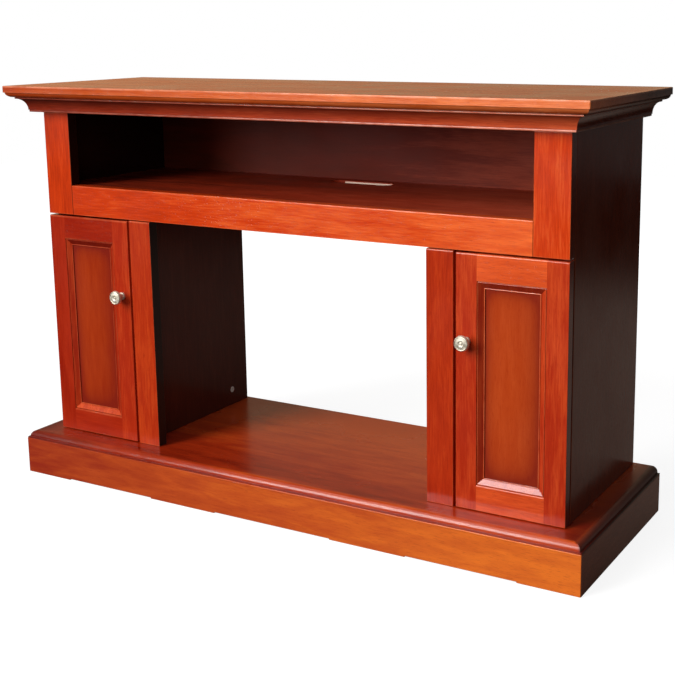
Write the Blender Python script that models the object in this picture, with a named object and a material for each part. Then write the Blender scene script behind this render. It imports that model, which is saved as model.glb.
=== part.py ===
"""Fireplace TV stand in cherry: a media compartment over a through opening, with a door at each side.

Metres, +Z up. The origin is on the floor under the middle of the top slab, and the front faces -Y.
"""

import math
from typing import NamedTuple

import bmesh
import bpy
from mathutils import Vector

# Clearances
FIT = 0.0003  # between pieces that touch
EDGE_EASE = 0.0008  # chamfer that takes the sharpness off a board's edges

# Top slab
TOP_WIDTH = 1.200
TOP_DEPTH = 0.406
TOP_THICKNESS = 0.022
TOP_OVERHANG_FRONT = 0.056  # ahead of the face of the stiles and doors
TOP_OVERHANG_SIDE = 0.049  # beyond the side panels
REAR_OVERHANG = 0.008  # behind the case, for the slab and the base alike
OVOLO_HEIGHT = 0.009
OVOLO_INSET = 0.0146

# Crown moulding
CROWN_HEIGHT = 0.029
CROWN_FOOT_PROJECTION = 0.015
CROWN_FILLET_LOW = 0.004
CROWN_FILLET_HIGH = 0.003
CROWN_QUIRK = 0.0012  # small step between a fillet and the cove

# Heights of the front, from the floor up
SKIRT_HEIGHT = 0.0722
BASE_BOARD_THICKNESS = 0.0138
TOWER_HEIGHT = 0.4465
RAIL_HEIGHT = 0.058
MEDIA_HEIGHT = 0.143

# Face frame
FRAME_STANDOFF = 0.004  # room behind a door for its hinge to swing in
UPPER_STILE_WIDTH = 0.063
OPENING_WIDTH = 0.5926
INNER_STILE_WIDTH = 0.0507
INNER_STILE_GAP = 0.0018  # under the rail

# Case
SIDE_THICKNESS = 0.018
SHELF_THICKNESS = 0.018
SHELF_DROP = 0.001  # media shelf below the top of its rail
PARTITION_SETBACK = 0.0377  # partition's face behind the edge of the inner stile
PARTITION_THICKNESS = 0.016
BACK_THICKNESS = 0.006
BACK_INSET = 0.004
CABLE_SLOT_LENGTH = 0.140
CABLE_SLOT_WIDTH = 0.033
CABLE_SLOT_FROM_BACK = 0.027

# Base
SKIRT_THICKNESS = 0.018
SKIRT_OVERHANG_SIDE = 0.049
SKIRT_OVERHANG_FRONT = 0.052
LEDGE_INSET = 0.0045
LEDGE_RISE = 0.0016
BASE_ROUND = 0.0108
FOOT_RELIEF = 0.002
CORNER_FOOT_LENGTH = 0.1115
MIDDLE_FOOT_LENGTH = 0.153
MIDDLE_FOOT_CENTRE = 0.2035

# Doors
DOOR_THICKNESS = 0.018
DOOR_SIDE_GAP = 0.005
DOOR_TOP_GAP = 0.0036
DOOR_BOTTOM_GAP = 0.0017
DOOR_STILE_WIDTH = 0.0382
DOOR_RAIL_HEIGHT = 0.0454
MOULDING_WIDTH = 0.013
MOULDING_LIP = 0.0015
MOULDING_SINK = 0.0008  # lip of the moulding behind the face of the frame
PANEL_RECESS = 0.0065
PANEL_THICKNESS = 0.007

# Concealed hinges
HINGE_END_DISTANCE = 0.085  # from the door's top and bottom
PIVOT_FROM_EDGE = 0.008
PIVOT_FROM_BACK = 0.0075
CUP_DIAMETER = 0.026
CUP_EDGE = 0.003
CUP_DEPTH = 0.0122
CUP_WALL = 0.0008
CUP_FLANGE = 0.0015
PIN_DIAMETER = 0.0024
EYE_WALL = 0.0012
ARM_WIDTH = 0.008
ARM_THICKNESS = 0.003
ARM_LENGTH = 0.050
PLATE_HEIGHT = 0.044
PLATE_LENGTH = 0.018
PLATE_THICKNESS = 0.002

# Knobs
KNOB_HEIGHT = 0.2933  # above the door's bottom edge
KNOB_FROM_EDGE = 0.020
KNOB_DIAMETER = 0.027
KNOB_PROJECTION = 0.023
KNOB_FOOT_DIAMETER = 0.0145
KNOB_NECK_DIAMETER = 0.0105
KNOB_FOOT_HEIGHT = 0.0032
KNOB_NECK_HEIGHT = 0.0083  # where the neck is narrowest, above the door's face
KNOB_HEAD_HEIGHT = 0.0064  # rim and face, above the widest ring
KNOB_RIM = 0.0022
KNOB_RIM_SLOPE = 0.0011
KNOB_GROOVE_DEPTH = 0.0010
KNOB_BUTTON_DIAMETER = 0.006
KNOB_SCREW_DIAMETER = 0.004
KNOB_SCREW_GRIP = 0.008  # length inside the knob
SCREW_HEAD_DIAMETER = 0.008
SCREW_HEAD_HEIGHT = 0.0025

# Cupboard shelves
CUPBOARD_SHELF_HEIGHT = 0.215  # underside above the base board
CUPBOARD_SHELF_THICKNESS = 0.016
CUPBOARD_SHELF_SETBACK = 0.030
SHELF_SIDE_CLEARANCE = 0.001
SHELF_PIN_DIAMETER = 0.005
SHELF_PIN_SUNK = 0.008
SHELF_PIN_REACH = 0.009
SHELF_PIN_FROM_EDGE = 0.045

# Cam locks of the partitions
CAM_DIAMETER = 0.0125
CAM_DEPTH = 0.010
CAM_HEIGHT = 0.034
CAM_FROM_BACK = 0.054
CAM_SOCKET_DIAMETER = 0.006
CAM_SOCKET_DEPTH = 0.003

# Steps round an arc and round a turned piece
ARC_STEPS = 6
TURN_STEPS = 28
SMALL_TURN_STEPS = 14
SMOOTH_ANGLE = math.radians(40)  # sharper edges of a turned piece keep their crease
WELD_DISTANCE = 1e-6  # joins the spun points that fall on the axis

# Levels
Z_BOARD = SKIRT_HEIGHT
Z_FLOOR = Z_BOARD + BASE_BOARD_THICKNESS
Z_RAIL = Z_FLOOR + TOWER_HEIGHT
Z_MEDIA = Z_RAIL + RAIL_HEIGHT
Z_CROWN = Z_MEDIA + MEDIA_HEIGHT
Z_SLAB = Z_CROWN + CROWN_HEIGHT
Z_TOP = Z_SLAB + TOP_THICKNESS
Z_SHELF = Z_MEDIA - SHELF_DROP
Z_SHELF_UNDER = Z_SHELF - SHELF_THICKNESS
Z_DOOR_LOW = Z_FLOOR + DOOR_BOTTOM_GAP
Z_DOOR_HIGH = Z_RAIL - DOOR_TOP_GAP

# Planes from front to back
Y_TOP_FRONT = -TOP_DEPTH / 2
Y_TOP_BACK = TOP_DEPTH / 2
Y_FACE = Y_TOP_FRONT + TOP_OVERHANG_FRONT
Y_DOOR_BACK = Y_FACE + DOOR_THICKNESS
Y_FRAME_BACK = Y_DOOR_BACK + FRAME_STANDOFF
Y_CASE = Y_FRAME_BACK + FIT
Y_CASE_BACK = Y_TOP_BACK - REAR_OVERHANG
Y_BACK_PANEL = Y_CASE_BACK - BACK_INSET - BACK_THICKNESS
Y_SKIRT = Y_FACE - SKIRT_OVERHANG_FRONT
Y_PIVOT = Y_DOOR_BACK - PIVOT_FROM_BACK
HEADER_PROUD = TOP_OVERHANG_FRONT - TOP_OVERHANG_SIDE
Y_HEADER = Y_FACE - HEADER_PROUD

# Distances from the middle, the same on both sides
X_CASE = TOP_WIDTH / 2 - TOP_OVERHANG_SIDE
X_SIDE_INNER = X_CASE - SIDE_THICKNESS
X_STILE_INNER = X_CASE - UPPER_STILE_WIDTH
X_OPENING = OPENING_WIDTH / 2
X_INNER_STILE = X_OPENING + INNER_STILE_WIDTH
X_PARTITION = X_OPENING + PARTITION_SETBACK
X_PARTITION_OUTER = X_PARTITION + PARTITION_THICKNESS
X_DOOR_INNER = X_INNER_STILE + DOOR_SIDE_GAP
X_DOOR_OUTER = X_CASE
X_SKIRT = X_CASE + SKIRT_OVERHANG_SIDE
X_PIVOT = X_CASE - PIVOT_FROM_EDGE

SIDES = (("left", -1), ("right", 1))


class Finish(NamedTuple):
    """Colour in sRGB from 0 to 255, roughness and metallic value of a surface."""

    colour: tuple
    roughness: float
    metallic: float


CHERRY_FRAME = Finish((208, 78, 36), 0.32, 0.0)
CHERRY_DOOR = Finish((188, 58, 28), 0.32, 0.0)
CHERRY_PANEL = Finish((178, 70, 24), 0.35, 0.0)
CHERRY_TOP = Finish((158, 84, 48), 0.28, 0.0)
CHERRY_CASE = Finish((128, 52, 32), 0.35, 0.0)
CHERRY_BASE = Finish((186, 74, 40), 0.30, 0.0)
CHERRY_INSIDE = Finish((118, 50, 36), 0.50, 0.0)
SATIN_NICKEL = Finish((205, 196, 178), 0.30, 1.0)
ZINC = Finish((186, 184, 180), 0.40, 1.0)


def clear_scene():
    """Removes every object that the scene holds."""
    for old in list(bpy.data.objects):
        bpy.data.objects.remove(old, do_unlink=True)


def linear(channel):
    """Turns one sRGB channel from 0 to 255 into a linear value."""
    value = channel / 255
    if value <= 0.04045:
        return value / 12.92
    return ((value + 0.055) / 1.055) ** 2.4


def material(name, finish):
    """Makes the material of one piece from its finish."""
    made = bpy.data.materials.new(name)
    made.use_nodes = True
    shader = made.node_tree.nodes["Principled BSDF"]
    colour = [linear(channel) for channel in finish.colour]
    shader.inputs["Base Color"].default_value = (*colour, 1.0)
    shader.inputs["Roughness"].default_value = finish.roughness
    shader.inputs["Metallic"].default_value = finish.metallic
    return made


def place(name, shape, origin, finish, parent=None, turn=(0.0, 0.0, 0.0)):
    """Turns a bmesh into an object whose origin lies at a world point, under a parent or alone."""
    bmesh.ops.recalc_face_normals(shape, faces=shape.faces)
    mesh = bpy.data.meshes.new(name)
    shape.to_mesh(mesh)
    shape.free()
    piece = bpy.data.objects.new(name, mesh)
    bpy.context.scene.collection.objects.link(piece)
    piece.rotation_euler = turn
    piece.location = Vector(origin)
    if parent is not None:
        piece.parent = parent
        piece.location -= parent.location
    if finish is not None:
        mesh.materials.append(material(name, finish))
    return piece


def ease(piece):
    """Chamfers the edges of a board."""
    bevel = piece.modifiers.new("eased_edges", "BEVEL")
    bevel.width = EDGE_EASE
    bevel.segments = 1
    return piece


def board(name, x_span, y_span, z_span, finish, parent=None):
    """Adds a rectangular board between three pairs of planes."""
    spans = [sorted(span) for span in (x_span, y_span, z_span)]
    centre = [(low + high) / 2 for low, high in spans]
    size = [high - low for low, high in spans]
    shape = bmesh.new()
    bmesh.ops.create_cube(shape, size=1.0)
    bmesh.ops.scale(shape, vec=size, verts=shape.verts)
    return ease(place(name, shape, centre, finish, parent))


def loft(name, rings, finish, origin=(0, 0, 0), parent=None, closed=False):
    """Joins rings of as many points each, in order, and caps the ends or closes the last onto the first."""
    shape = bmesh.new()
    start = Vector(origin)
    loops = [[shape.verts.new(Vector(point) - start) for point in ring] for ring in rings]
    pairs = list(zip(loops, loops[1:]))
    if closed:
        pairs.append((loops[-1], loops[0]))
    else:
        shape.faces.new(loops[0])
        shape.faces.new(loops[-1])
    for low, high in pairs:
        for index, corner in enumerate(low):
            following = (index + 1) % len(low)
            shape.faces.new((corner, low[following], high[following], high[index]))
    return place(name, shape, origin, finish, parent)


def prism(name, outline, z_span, finish, origin=(0, 0, 0), parent=None):
    """Extrudes a plan outline of (x, y) points between two levels."""
    rings = [[(x, y, z) for x, y in outline] for z in z_span]
    return loft(name, rings, finish, origin, parent)


def turned(name, profile, origin, finish, parent=None, turn=(0, 0, 0), steps=TURN_STEPS):
    """Spins a profile of (radius, distance) points round its axis, which starts as +Z."""
    shape = bmesh.new()
    points = [shape.verts.new((radius, 0.0, distance)) for radius, distance in profile]
    edges = [shape.edges.new(pair) for pair in zip(points, points[1:])]
    bmesh.ops.spin(
        shape,
        geom=points + edges,
        cent=(0, 0, 0),
        axis=(0, 0, 1),
        angle=math.tau,
        steps=steps,
        use_merge=True,
        use_duplicate=False,
    )
    bmesh.ops.remove_doubles(shape, verts=shape.verts, dist=WELD_DISTANCE)
    piece = place(name, shape, origin, finish, parent, turn)
    piece.data.shade_smooth()
    piece.data.set_sharp_from_angle(angle=SMOOTH_ANGLE)
    return piece


def combine(piece, other, operation):
    """Cuts a helper out of a piece, or joins it on, and hides the helper."""
    change = piece.modifiers.new(other.name, "BOOLEAN")
    change.operation = operation
    change.solver = "EXACT"
    change.object = other
    other.hide_render = True
    other.display_type = "WIRE"


def arc(start, end, flat_first, steps=ARC_STEPS):
    """Gives the points of a quarter ellipse between two points, its ends included.

    With flat_first the first coordinate moves at once and the second one slowly; otherwise the reverse.
    """
    points = []
    for step in range(steps + 1):
        angle = math.pi / 2 * step / steps
        quick = math.sin(angle)
        slow = 1 - math.cos(angle)
        first, second = (quick, slow) if flat_first else (slow, quick)
        x = start[0] + (end[0] - start[0]) * first
        y = start[1] + (end[1] - start[1]) * second
        points.append((x, y))
    return points


def moulded_board(name, profile, half_width, front, back, finish):
    """Builds a board whose front and ends follow a profile of (inset, level) points, with a plain back."""
    rings = []
    for inset, level in profile:
        side = half_width - inset
        edge = front + inset
        rings.append([(-side, edge, level), (side, edge, level), (side, back, level), (-side, back, level)])
    return loft(name, rings, finish, origin=(0, (front + back) / 2, profile[0][1]))


def build_top():
    """Builds the slab: an eased top edge, a flat edge, and an ovolo under it."""
    flat_end = Z_SLAB + OVOLO_HEIGHT
    profile = [(EDGE_EASE, Z_TOP), (0.0, Z_TOP - EDGE_EASE)]
    profile += arc((0.0, flat_end), (OVOLO_INSET, Z_SLAB), flat_first=False)
    moulded_board("top_slab", profile, TOP_WIDTH / 2, Y_TOP_FRONT, Y_TOP_BACK, CHERRY_TOP)


def crown_profile():
    """Gives the crown's section as (projection, level): a low fillet, a cove and a high fillet."""
    high = TOP_OVERHANG_SIDE - OVOLO_INSET - EDGE_EASE
    cove_low = (CROWN_FOOT_PROJECTION + CROWN_QUIRK, Z_CROWN + CROWN_FILLET_LOW)
    cove_high = (high - CROWN_QUIRK, Z_SLAB - FIT - CROWN_FILLET_HIGH)
    outline = [(FIT, Z_CROWN), (CROWN_FOOT_PROJECTION, Z_CROWN), (CROWN_FOOT_PROJECTION, cove_low[1])]
    outline += arc(cove_low, cove_high, flat_first=False)
    outline += [(high, cove_high[1]), (high, Z_SLAB - FIT), (FIT, Z_SLAB - FIT)]
    return outline


def build_crown():
    """Builds the front length, mitred at both ends, and the two side lengths."""
    outline = crown_profile()
    ends = []
    for sign in (-1, 1):
        ends.append([(sign * (X_CASE + out - FIT), Y_HEADER - out, level) for out, level in outline])
    loft("crown_front", ends, CHERRY_FRAME, origin=(0, Y_HEADER, Z_CROWN))
    for word, sign in SIDES:
        mitre = [(sign * (X_CASE + out), Y_HEADER - out, level) for out, level in outline]
        square = [(sign * (X_CASE + out), Y_CASE_BACK, level) for out, level in outline]
        loft(f"crown_{word}", [mitre, square], CHERRY_CASE, origin=(sign * X_CASE, 0, Z_CROWN))


def build_face_frame():
    """Builds the header behind the crown, the rail under the media opening and the four stiles."""
    frame_depth = (Y_FACE, Y_FRAME_BACK)
    header_depth = (Y_HEADER, Y_FRAME_BACK)
    board("header_rail", (-X_CASE, X_CASE), header_depth, (Z_CROWN, Z_SLAB - FIT), CHERRY_FRAME)
    rail_half = X_STILE_INNER - FIT
    board("shelf_rail", (-rail_half, rail_half), frame_depth, (Z_RAIL, Z_MEDIA), CHERRY_FRAME)
    for word, sign in SIDES:
        upper = (sign * X_STILE_INNER, sign * X_CASE)
        board(f"upper_stile_{word}", upper, frame_depth, (Z_RAIL, Z_CROWN - FIT), CHERRY_FRAME)
        inner = (sign * X_OPENING, sign * X_INNER_STILE)
        levels = (Z_FLOOR + FIT, Z_RAIL - INNER_STILE_GAP)
        board(f"inner_stile_{word}", inner, frame_depth, levels, CHERRY_FRAME)


def cable_slot():
    """Makes the oblong cutter of the cable slot in the media shelf."""
    radius = CABLE_SLOT_WIDTH / 2
    middle = Y_BACK_PANEL - CABLE_SLOT_FROM_BACK - radius
    straight = CABLE_SLOT_LENGTH / 2 - radius
    outline = []
    for sign in (1, -1):
        for step in range(2 * ARC_STEPS + 1):
            angle = math.pi * step / (2 * ARC_STEPS) - math.pi / 2
            along = straight + radius * math.cos(angle)
            across = radius * math.sin(angle)
            outline.append((sign * along, middle + sign * across))
    levels = (Z_SHELF_UNDER - SHELF_THICKNESS, Z_SHELF + SHELF_THICKNESS)
    return prism("cable_slot_cutter", outline, levels, None)


def build_media_compartment():
    """Builds the shelf with its cable slot, and the back panel behind it."""
    inner = X_SIDE_INNER - FIT
    depth = (Y_CASE, Y_BACK_PANEL - FIT)
    shelf = board("media_shelf", (-inner, inner), depth, (Z_SHELF_UNDER, Z_SHELF), CHERRY_INSIDE)
    combine(shelf, cable_slot(), "DIFFERENCE")
    back_depth = (Y_BACK_PANEL, Y_BACK_PANEL + BACK_THICKNESS)
    board("media_back_panel", (-inner, inner), back_depth, (Z_SHELF_UNDER, Z_SLAB - FIT), CHERRY_INSIDE)


def round_hole(name, radius, depth, start, turn, parent=None, steps=SMALL_TURN_STEPS):
    """Makes the cutter of a round hole that starts at a face and goes along its turned +Z.

    The radius reaches the middle of the hole's flats, so that a round piece of that size fits.
    """
    corner = radius / math.cos(math.pi / steps)
    profile = [(0, depth), (corner, depth), (corner, -radius), (0, -radius)]
    return turned(name, profile, start, None, parent, turn, steps)


def shelf_pin_places():
    """Gives the two places of the pins along a cupboard wall, from front to back."""
    front = Y_CASE + CUPBOARD_SHELF_SETBACK + SHELF_PIN_FROM_EDGE
    rear = Y_BACK_PANEL - SHELF_PIN_FROM_EDGE
    return (("front", front), ("rear", rear))


def build_shelf_pins(wall, wall_name, face, into, word):
    """Drills a cupboard wall at two places and puts a shelf pin in each hole.

    face is the wall's inner face; into is the direction along X that goes into the wall.
    """
    radius = SHELF_PIN_DIAMETER / 2
    level = Z_FLOOR + CUPBOARD_SHELF_HEIGHT - FIT - radius
    turn = (0, into * math.pi / 2, 0)
    for spot, y in shelf_pin_places():
        start = (face, y, level)
        label = f"{word}_{wall_name}_{spot}"
        hole = round_hole(f"pin_hole_{label}", radius + FIT, SHELF_PIN_SUNK + FIT, start, turn)
        combine(wall, hole, "DIFFERENCE")
        sunk, free = SHELF_PIN_SUNK, -SHELF_PIN_REACH
        profile = [(0, sunk), (radius, sunk), (radius, free), (0, free)]
        turned(f"shelf_pin_{label}", profile, start, ZINC, None, turn, SMALL_TURN_STEPS)


def build_cam(partition, word, sign):
    """Sinks the round cam lock into the partition's face, near the base and the back."""
    radius = CAM_DIAMETER / 2
    socket = CAM_SOCKET_DIAMETER / 2
    start = (sign * X_PARTITION, Y_CASE_BACK - CAM_FROM_BACK, Z_FLOOR + CAM_HEIGHT)
    turn = (0, sign * math.pi / 2, 0)
    bore = round_hole(f"cam_bore_{word}", radius + FIT, CAM_DEPTH + FIT, start, turn)
    combine(partition, bore, "DIFFERENCE")
    profile = [(0, CAM_DEPTH), (radius, CAM_DEPTH), (radius, 0), (socket, 0)]
    profile += [(socket, CAM_SOCKET_DEPTH), (0, CAM_SOCKET_DEPTH)]
    turned(f"cam_lock_{word}", profile, start, ZINC, None, turn, SMALL_TURN_STEPS)


def build_cupboards():
    """Builds both side cupboards: side panel, partition, back, shelf and its pins."""
    case_depth = (Y_CASE, Y_CASE_BACK)
    back_depth = (Y_BACK_PANEL, Y_BACK_PANEL + BACK_THICKNESS)
    shelf_depth = (Y_CASE + CUPBOARD_SHELF_SETBACK, Y_BACK_PANEL - FIT)
    floor = Z_FLOOR + FIT
    ceiling = Z_SHELF_UNDER - FIT
    shelf_level = Z_FLOOR + CUPBOARD_SHELF_HEIGHT
    for word, sign in SIDES:
        outer = (sign * X_SIDE_INNER, sign * X_CASE)
        side = board(f"side_panel_{word}", outer, case_depth, (floor, Z_SLAB - FIT), CHERRY_CASE)
        inner = (sign * X_PARTITION, sign * X_PARTITION_OUTER)
        partition = board(f"partition_{word}", inner, case_depth, (floor, ceiling), CHERRY_CASE)
        between = (sign * (X_PARTITION_OUTER + FIT), sign * (X_SIDE_INNER - FIT))
        board(f"cupboard_back_{word}", between, back_depth, (floor, ceiling), CHERRY_INSIDE)
        near = X_PARTITION_OUTER + SHELF_SIDE_CLEARANCE
        clear = (sign * near, sign * (X_SIDE_INNER - SHELF_SIDE_CLEARANCE))
        shelf_levels = (shelf_level, shelf_level + CUPBOARD_SHELF_THICKNESS)
        board(f"cupboard_shelf_{word}", clear, shelf_depth, shelf_levels, CHERRY_INSIDE)
        build_shelf_pins(side, "outer", sign * X_SIDE_INNER, sign, word)
        build_shelf_pins(partition, "inner", sign * X_PARTITION_OUTER, -sign, word)
        build_cam(partition, word, sign)


def build_base():
    """Builds the moulded base board and the skirt under it."""
    under = Z_BOARD + FIT
    ledge_end = (LEDGE_INSET, under + LEDGE_RISE)
    profile = arc((0.0, under), ledge_end, flat_first=True)
    round_start = (LEDGE_INSET, Z_FLOOR - BASE_ROUND)
    profile += arc(round_start, (LEDGE_INSET + BASE_ROUND, Z_FLOOR), flat_first=False)
    moulded_board("base_board", profile, X_SKIRT, Y_SKIRT, Y_TOP_BACK, CHERRY_BASE)
    build_front_skirt()
    inner = X_SKIRT - SKIRT_THICKNESS
    inner_front = Y_SKIRT + SKIRT_THICKNESS
    for word, sign in SIDES:
        plan = [(X_SKIRT, Y_SKIRT), (X_SKIRT, Y_TOP_BACK), (inner, Y_TOP_BACK), (inner, inner_front)]
        outline = [(sign * x, y) for x, y in plan]
        prism(f"skirt_{word}", outline, (0.0, Z_BOARD), CHERRY_CASE, origin=(sign * X_SKIRT, 0, 0))
    rear_depth = (Y_TOP_BACK - SKIRT_THICKNESS, Y_TOP_BACK)
    board("skirt_rear", (FIT - inner, inner - FIT), rear_depth, (0.0, Z_BOARD), CHERRY_CASE)


def build_front_skirt():
    """Builds the mitred front length, whose lower edge is relieved between four feet."""
    foot_near = MIDDLE_FOOT_CENTRE - MIDDLE_FOOT_LENGTH / 2
    foot_far = MIDDLE_FOOT_CENTRE + MIDDLE_FOOT_LENGTH / 2
    corner = X_SKIRT - CORNER_FOOT_LENGTH
    right_half = [(foot_near, FOOT_RELIEF), (foot_near, 0.0), (foot_far, 0.0), (foot_far, FOOT_RELIEF)]
    right_half += [(corner, FOOT_RELIEF), (corner, 0.0)]
    left_half = [(-x, z) for x, z in reversed(right_half)]
    rings = []
    for depth in (0.0, SKIRT_THICKNESS):
        end = X_SKIRT - depth - FIT
        outline = left_half + right_half + [(end, 0.0), (end, Z_BOARD), (-end, Z_BOARD), (-end, 0.0)]
        rings.append([(x, Y_SKIRT + depth, z) for x, z in outline])
    loft("skirt_front", rings, CHERRY_BASE, origin=(0, Y_SKIRT, 0))


def hinge_levels():
    """Gives the levels of a door's two hinges."""
    return (("lower", Z_DOOR_LOW + HINGE_END_DISTANCE), ("upper", Z_DOOR_HIGH - HINGE_END_DISTANCE))


def build_hinge_cup(stile, pivot, word, sign, spot, level):
    """Bores the door's stile and sets a hinge cup with its cross pin into it, open to the back."""
    radius = CUP_DIAMETER / 2
    middle = sign * (X_DOOR_OUTER - CUP_EDGE - radius)
    start = (middle, Y_DOOR_BACK, level)
    inward = (math.pi / 2, 0, 0)
    bore_name = f"cup_bore_{word}_{spot}"
    bore = round_hole(bore_name, radius + FIT, CUP_DEPTH + FIT, start, inward, pivot, TURN_STEPS)
    combine(stile, bore, "DIFFERENCE")
    seat = -FIT
    rim = seat - CUP_WALL
    inside = radius - CUP_WALL
    flange = radius + CUP_FLANGE
    profile = [(0, CUP_DEPTH), (radius, CUP_DEPTH), (radius, seat), (flange, seat), (flange, rim)]
    profile += [(inside, rim), (inside, CUP_DEPTH - CUP_WALL), (0, CUP_DEPTH - CUP_WALL)]
    cup = turned(f"hinge_cup_{word}_{spot}", profile, start, ZINC, pivot, inward, TURN_STEPS)
    offset = X_PIVOT - abs(middle)
    reach = math.sqrt(inside**2 - offset**2) + CUP_WALL / 2
    pin_radius = PIN_DIAMETER / 2
    pin_profile = [(0, reach), (pin_radius, reach), (pin_radius, -reach), (0, -reach)]
    pin_start = (sign * X_PIVOT, Y_PIVOT, level)
    pin_name = f"hinge_pin_{word}_{spot}"
    pin = turned(pin_name, pin_profile, pin_start, None, pivot, steps=SMALL_TURN_STEPS)
    combine(cup, pin, "UNION")


def build_hinge_arm(word, sign, spot, level):
    """Builds the arm that hooks round the pin, leaves the cup and lies on the side panel with its plate."""
    hole = PIN_DIAMETER / 2 + FIT
    eye = hole + EYE_WALL
    near = X_PIVOT - X_SIDE_INNER + FIT
    far = near + ARM_THICKNESS
    half_leg = eye / 2
    end = Y_CASE - Y_PIVOT + ARM_LENGTH
    leave = math.asin(half_leg / eye)
    outline = []
    for step in range(2 * ARC_STEPS + 1):
        angle = leave + (math.tau - 2 * leave) * step / (2 * ARC_STEPS)
        outline.append((eye * math.cos(angle), eye * math.sin(angle)))
    outline += [(far, -half_leg), (far, end), (near, end), (near, half_leg)]
    plan = [(sign * (X_PIVOT - inward), Y_PIVOT + back) for inward, back in outline]
    origin = (sign * X_PIVOT, Y_PIVOT, level)
    span = (level - ARM_WIDTH / 2, level + ARM_WIDTH / 2)
    arm = prism(f"hinge_arm_{word}_{spot}", plan, span, ZINC, origin)
    profile = [(0, ARM_WIDTH), (hole, ARM_WIDTH), (hole, -ARM_WIDTH), (0, -ARM_WIDTH)]
    eye_hole = turned(f"eye_hole_{word}_{spot}", profile, origin, None, steps=SMALL_TURN_STEPS)
    combine(arm, eye_hole, "DIFFERENCE")
    plate_x = (sign * (X_SIDE_INNER - FIT), sign * (X_SIDE_INNER - FIT - PLATE_THICKNESS))
    plate_y = (Y_PIVOT + end - 2 * PLATE_LENGTH, Y_PIVOT + end - PLATE_LENGTH)
    plate_z = (level - PLATE_HEIGHT / 2, level + PLATE_HEIGHT / 2)
    plate = board(f"hinge_plate_{word}_{spot}", plate_x, plate_y, plate_z, None)
    combine(arm, plate, "UNION")


def knob_profile():
    """Gives the turned knob as (radius, distance) points from its foot to the middle of its face."""
    foot = KNOB_FOOT_DIAMETER / 2
    neck = KNOB_NECK_DIAMETER / 2
    head = KNOB_DIAMETER / 2
    button = KNOB_BUTTON_DIAMETER / 2
    head_low = KNOB_PROJECTION - KNOB_HEAD_HEIGHT
    floor = KNOB_PROJECTION - KNOB_GROOVE_DEPTH
    rim = head - KNOB_RIM
    outline = [(0, FIT), (foot, FIT), (foot, KNOB_FOOT_HEIGHT)]
    outline += arc((foot - KNOB_GROOVE_DEPTH, KNOB_FOOT_HEIGHT), (neck, KNOB_NECK_HEIGHT), flat_first=True)
    outline += arc((neck, KNOB_NECK_HEIGHT), (head, head_low), flat_first=False)[1:]
    outline += arc((head, head_low + KNOB_GROOVE_DEPTH), (rim, KNOB_PROJECTION), flat_first=False)
    outline += [(rim - KNOB_RIM_SLOPE, floor), (button + KNOB_RIM, KNOB_PROJECTION), (button, floor)]
    outline += [(button / 2, KNOB_PROJECTION), (0, KNOB_PROJECTION)]
    return outline


def build_knob(stile, pivot, word, sign):
    """Puts the turned knob on the stile, with the screw that holds it from the back."""
    x = sign * (X_DOOR_INNER + KNOB_FROM_EDGE)
    level = Z_DOOR_LOW + KNOB_HEIGHT
    face = (x, Y_FACE, level)
    forward = (math.pi / 2, 0, 0)
    shank = KNOB_SCREW_DIAMETER / 2
    head = SCREW_HEAD_DIAMETER / 2
    knob = turned(f"knob_{word}", knob_profile(), face, SATIN_NICKEL, pivot, forward)
    grip = round_hole(f"knob_bore_{word}", shank + FIT, KNOB_SCREW_GRIP + FIT, face, forward, pivot)
    combine(knob, grip, "DIFFERENCE")
    rear = (x, Y_DOOR_BACK, level)
    through = round_hole(f"knob_stile_bore_{word}", shank + FIT, 2 * DOOR_THICKNESS, rear, forward, pivot)
    combine(stile, through, "DIFFERENCE")
    tip = DOOR_THICKNESS + KNOB_SCREW_GRIP
    top = -FIT - SCREW_HEAD_HEIGHT
    profile = [(0, tip), (shank, tip), (shank, -FIT), (head, -FIT), (head, top), (0, top)]
    turned(f"knob_screw_{word}", profile, rear, ZINC, pivot, forward, SMALL_TURN_STEPS)


def build_panel_moulding(pivot, word, x_span, z_span):
    """Builds the mitred moulding in the door's opening: a lip at the frame, a bevel down to the panel."""
    low_x, high_x = sorted(x_span)
    low_z, high_z = z_span
    lip = (FIT + MOULDING_LIP, MOULDING_SINK)
    foot = (MOULDING_WIDTH, PANEL_RECESS - FIT)
    profile = [(FIT, foot[1]), (FIT, lip[1]), lip, foot]
    rings = []
    for inset, depth in profile:
        left, right = low_x + inset, high_x - inset
        bottom, top = low_z + inset, high_z - inset
        y = Y_FACE + depth
        rings.append([(left, y, bottom), (right, y, bottom), (right, y, top), (left, y, top)])
    origin = ((low_x + high_x) / 2, Y_FACE, (low_z + high_z) / 2)
    loft(f"door_{word}_moulding", rings, CHERRY_DOOR, origin, pivot, closed=True)


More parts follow.
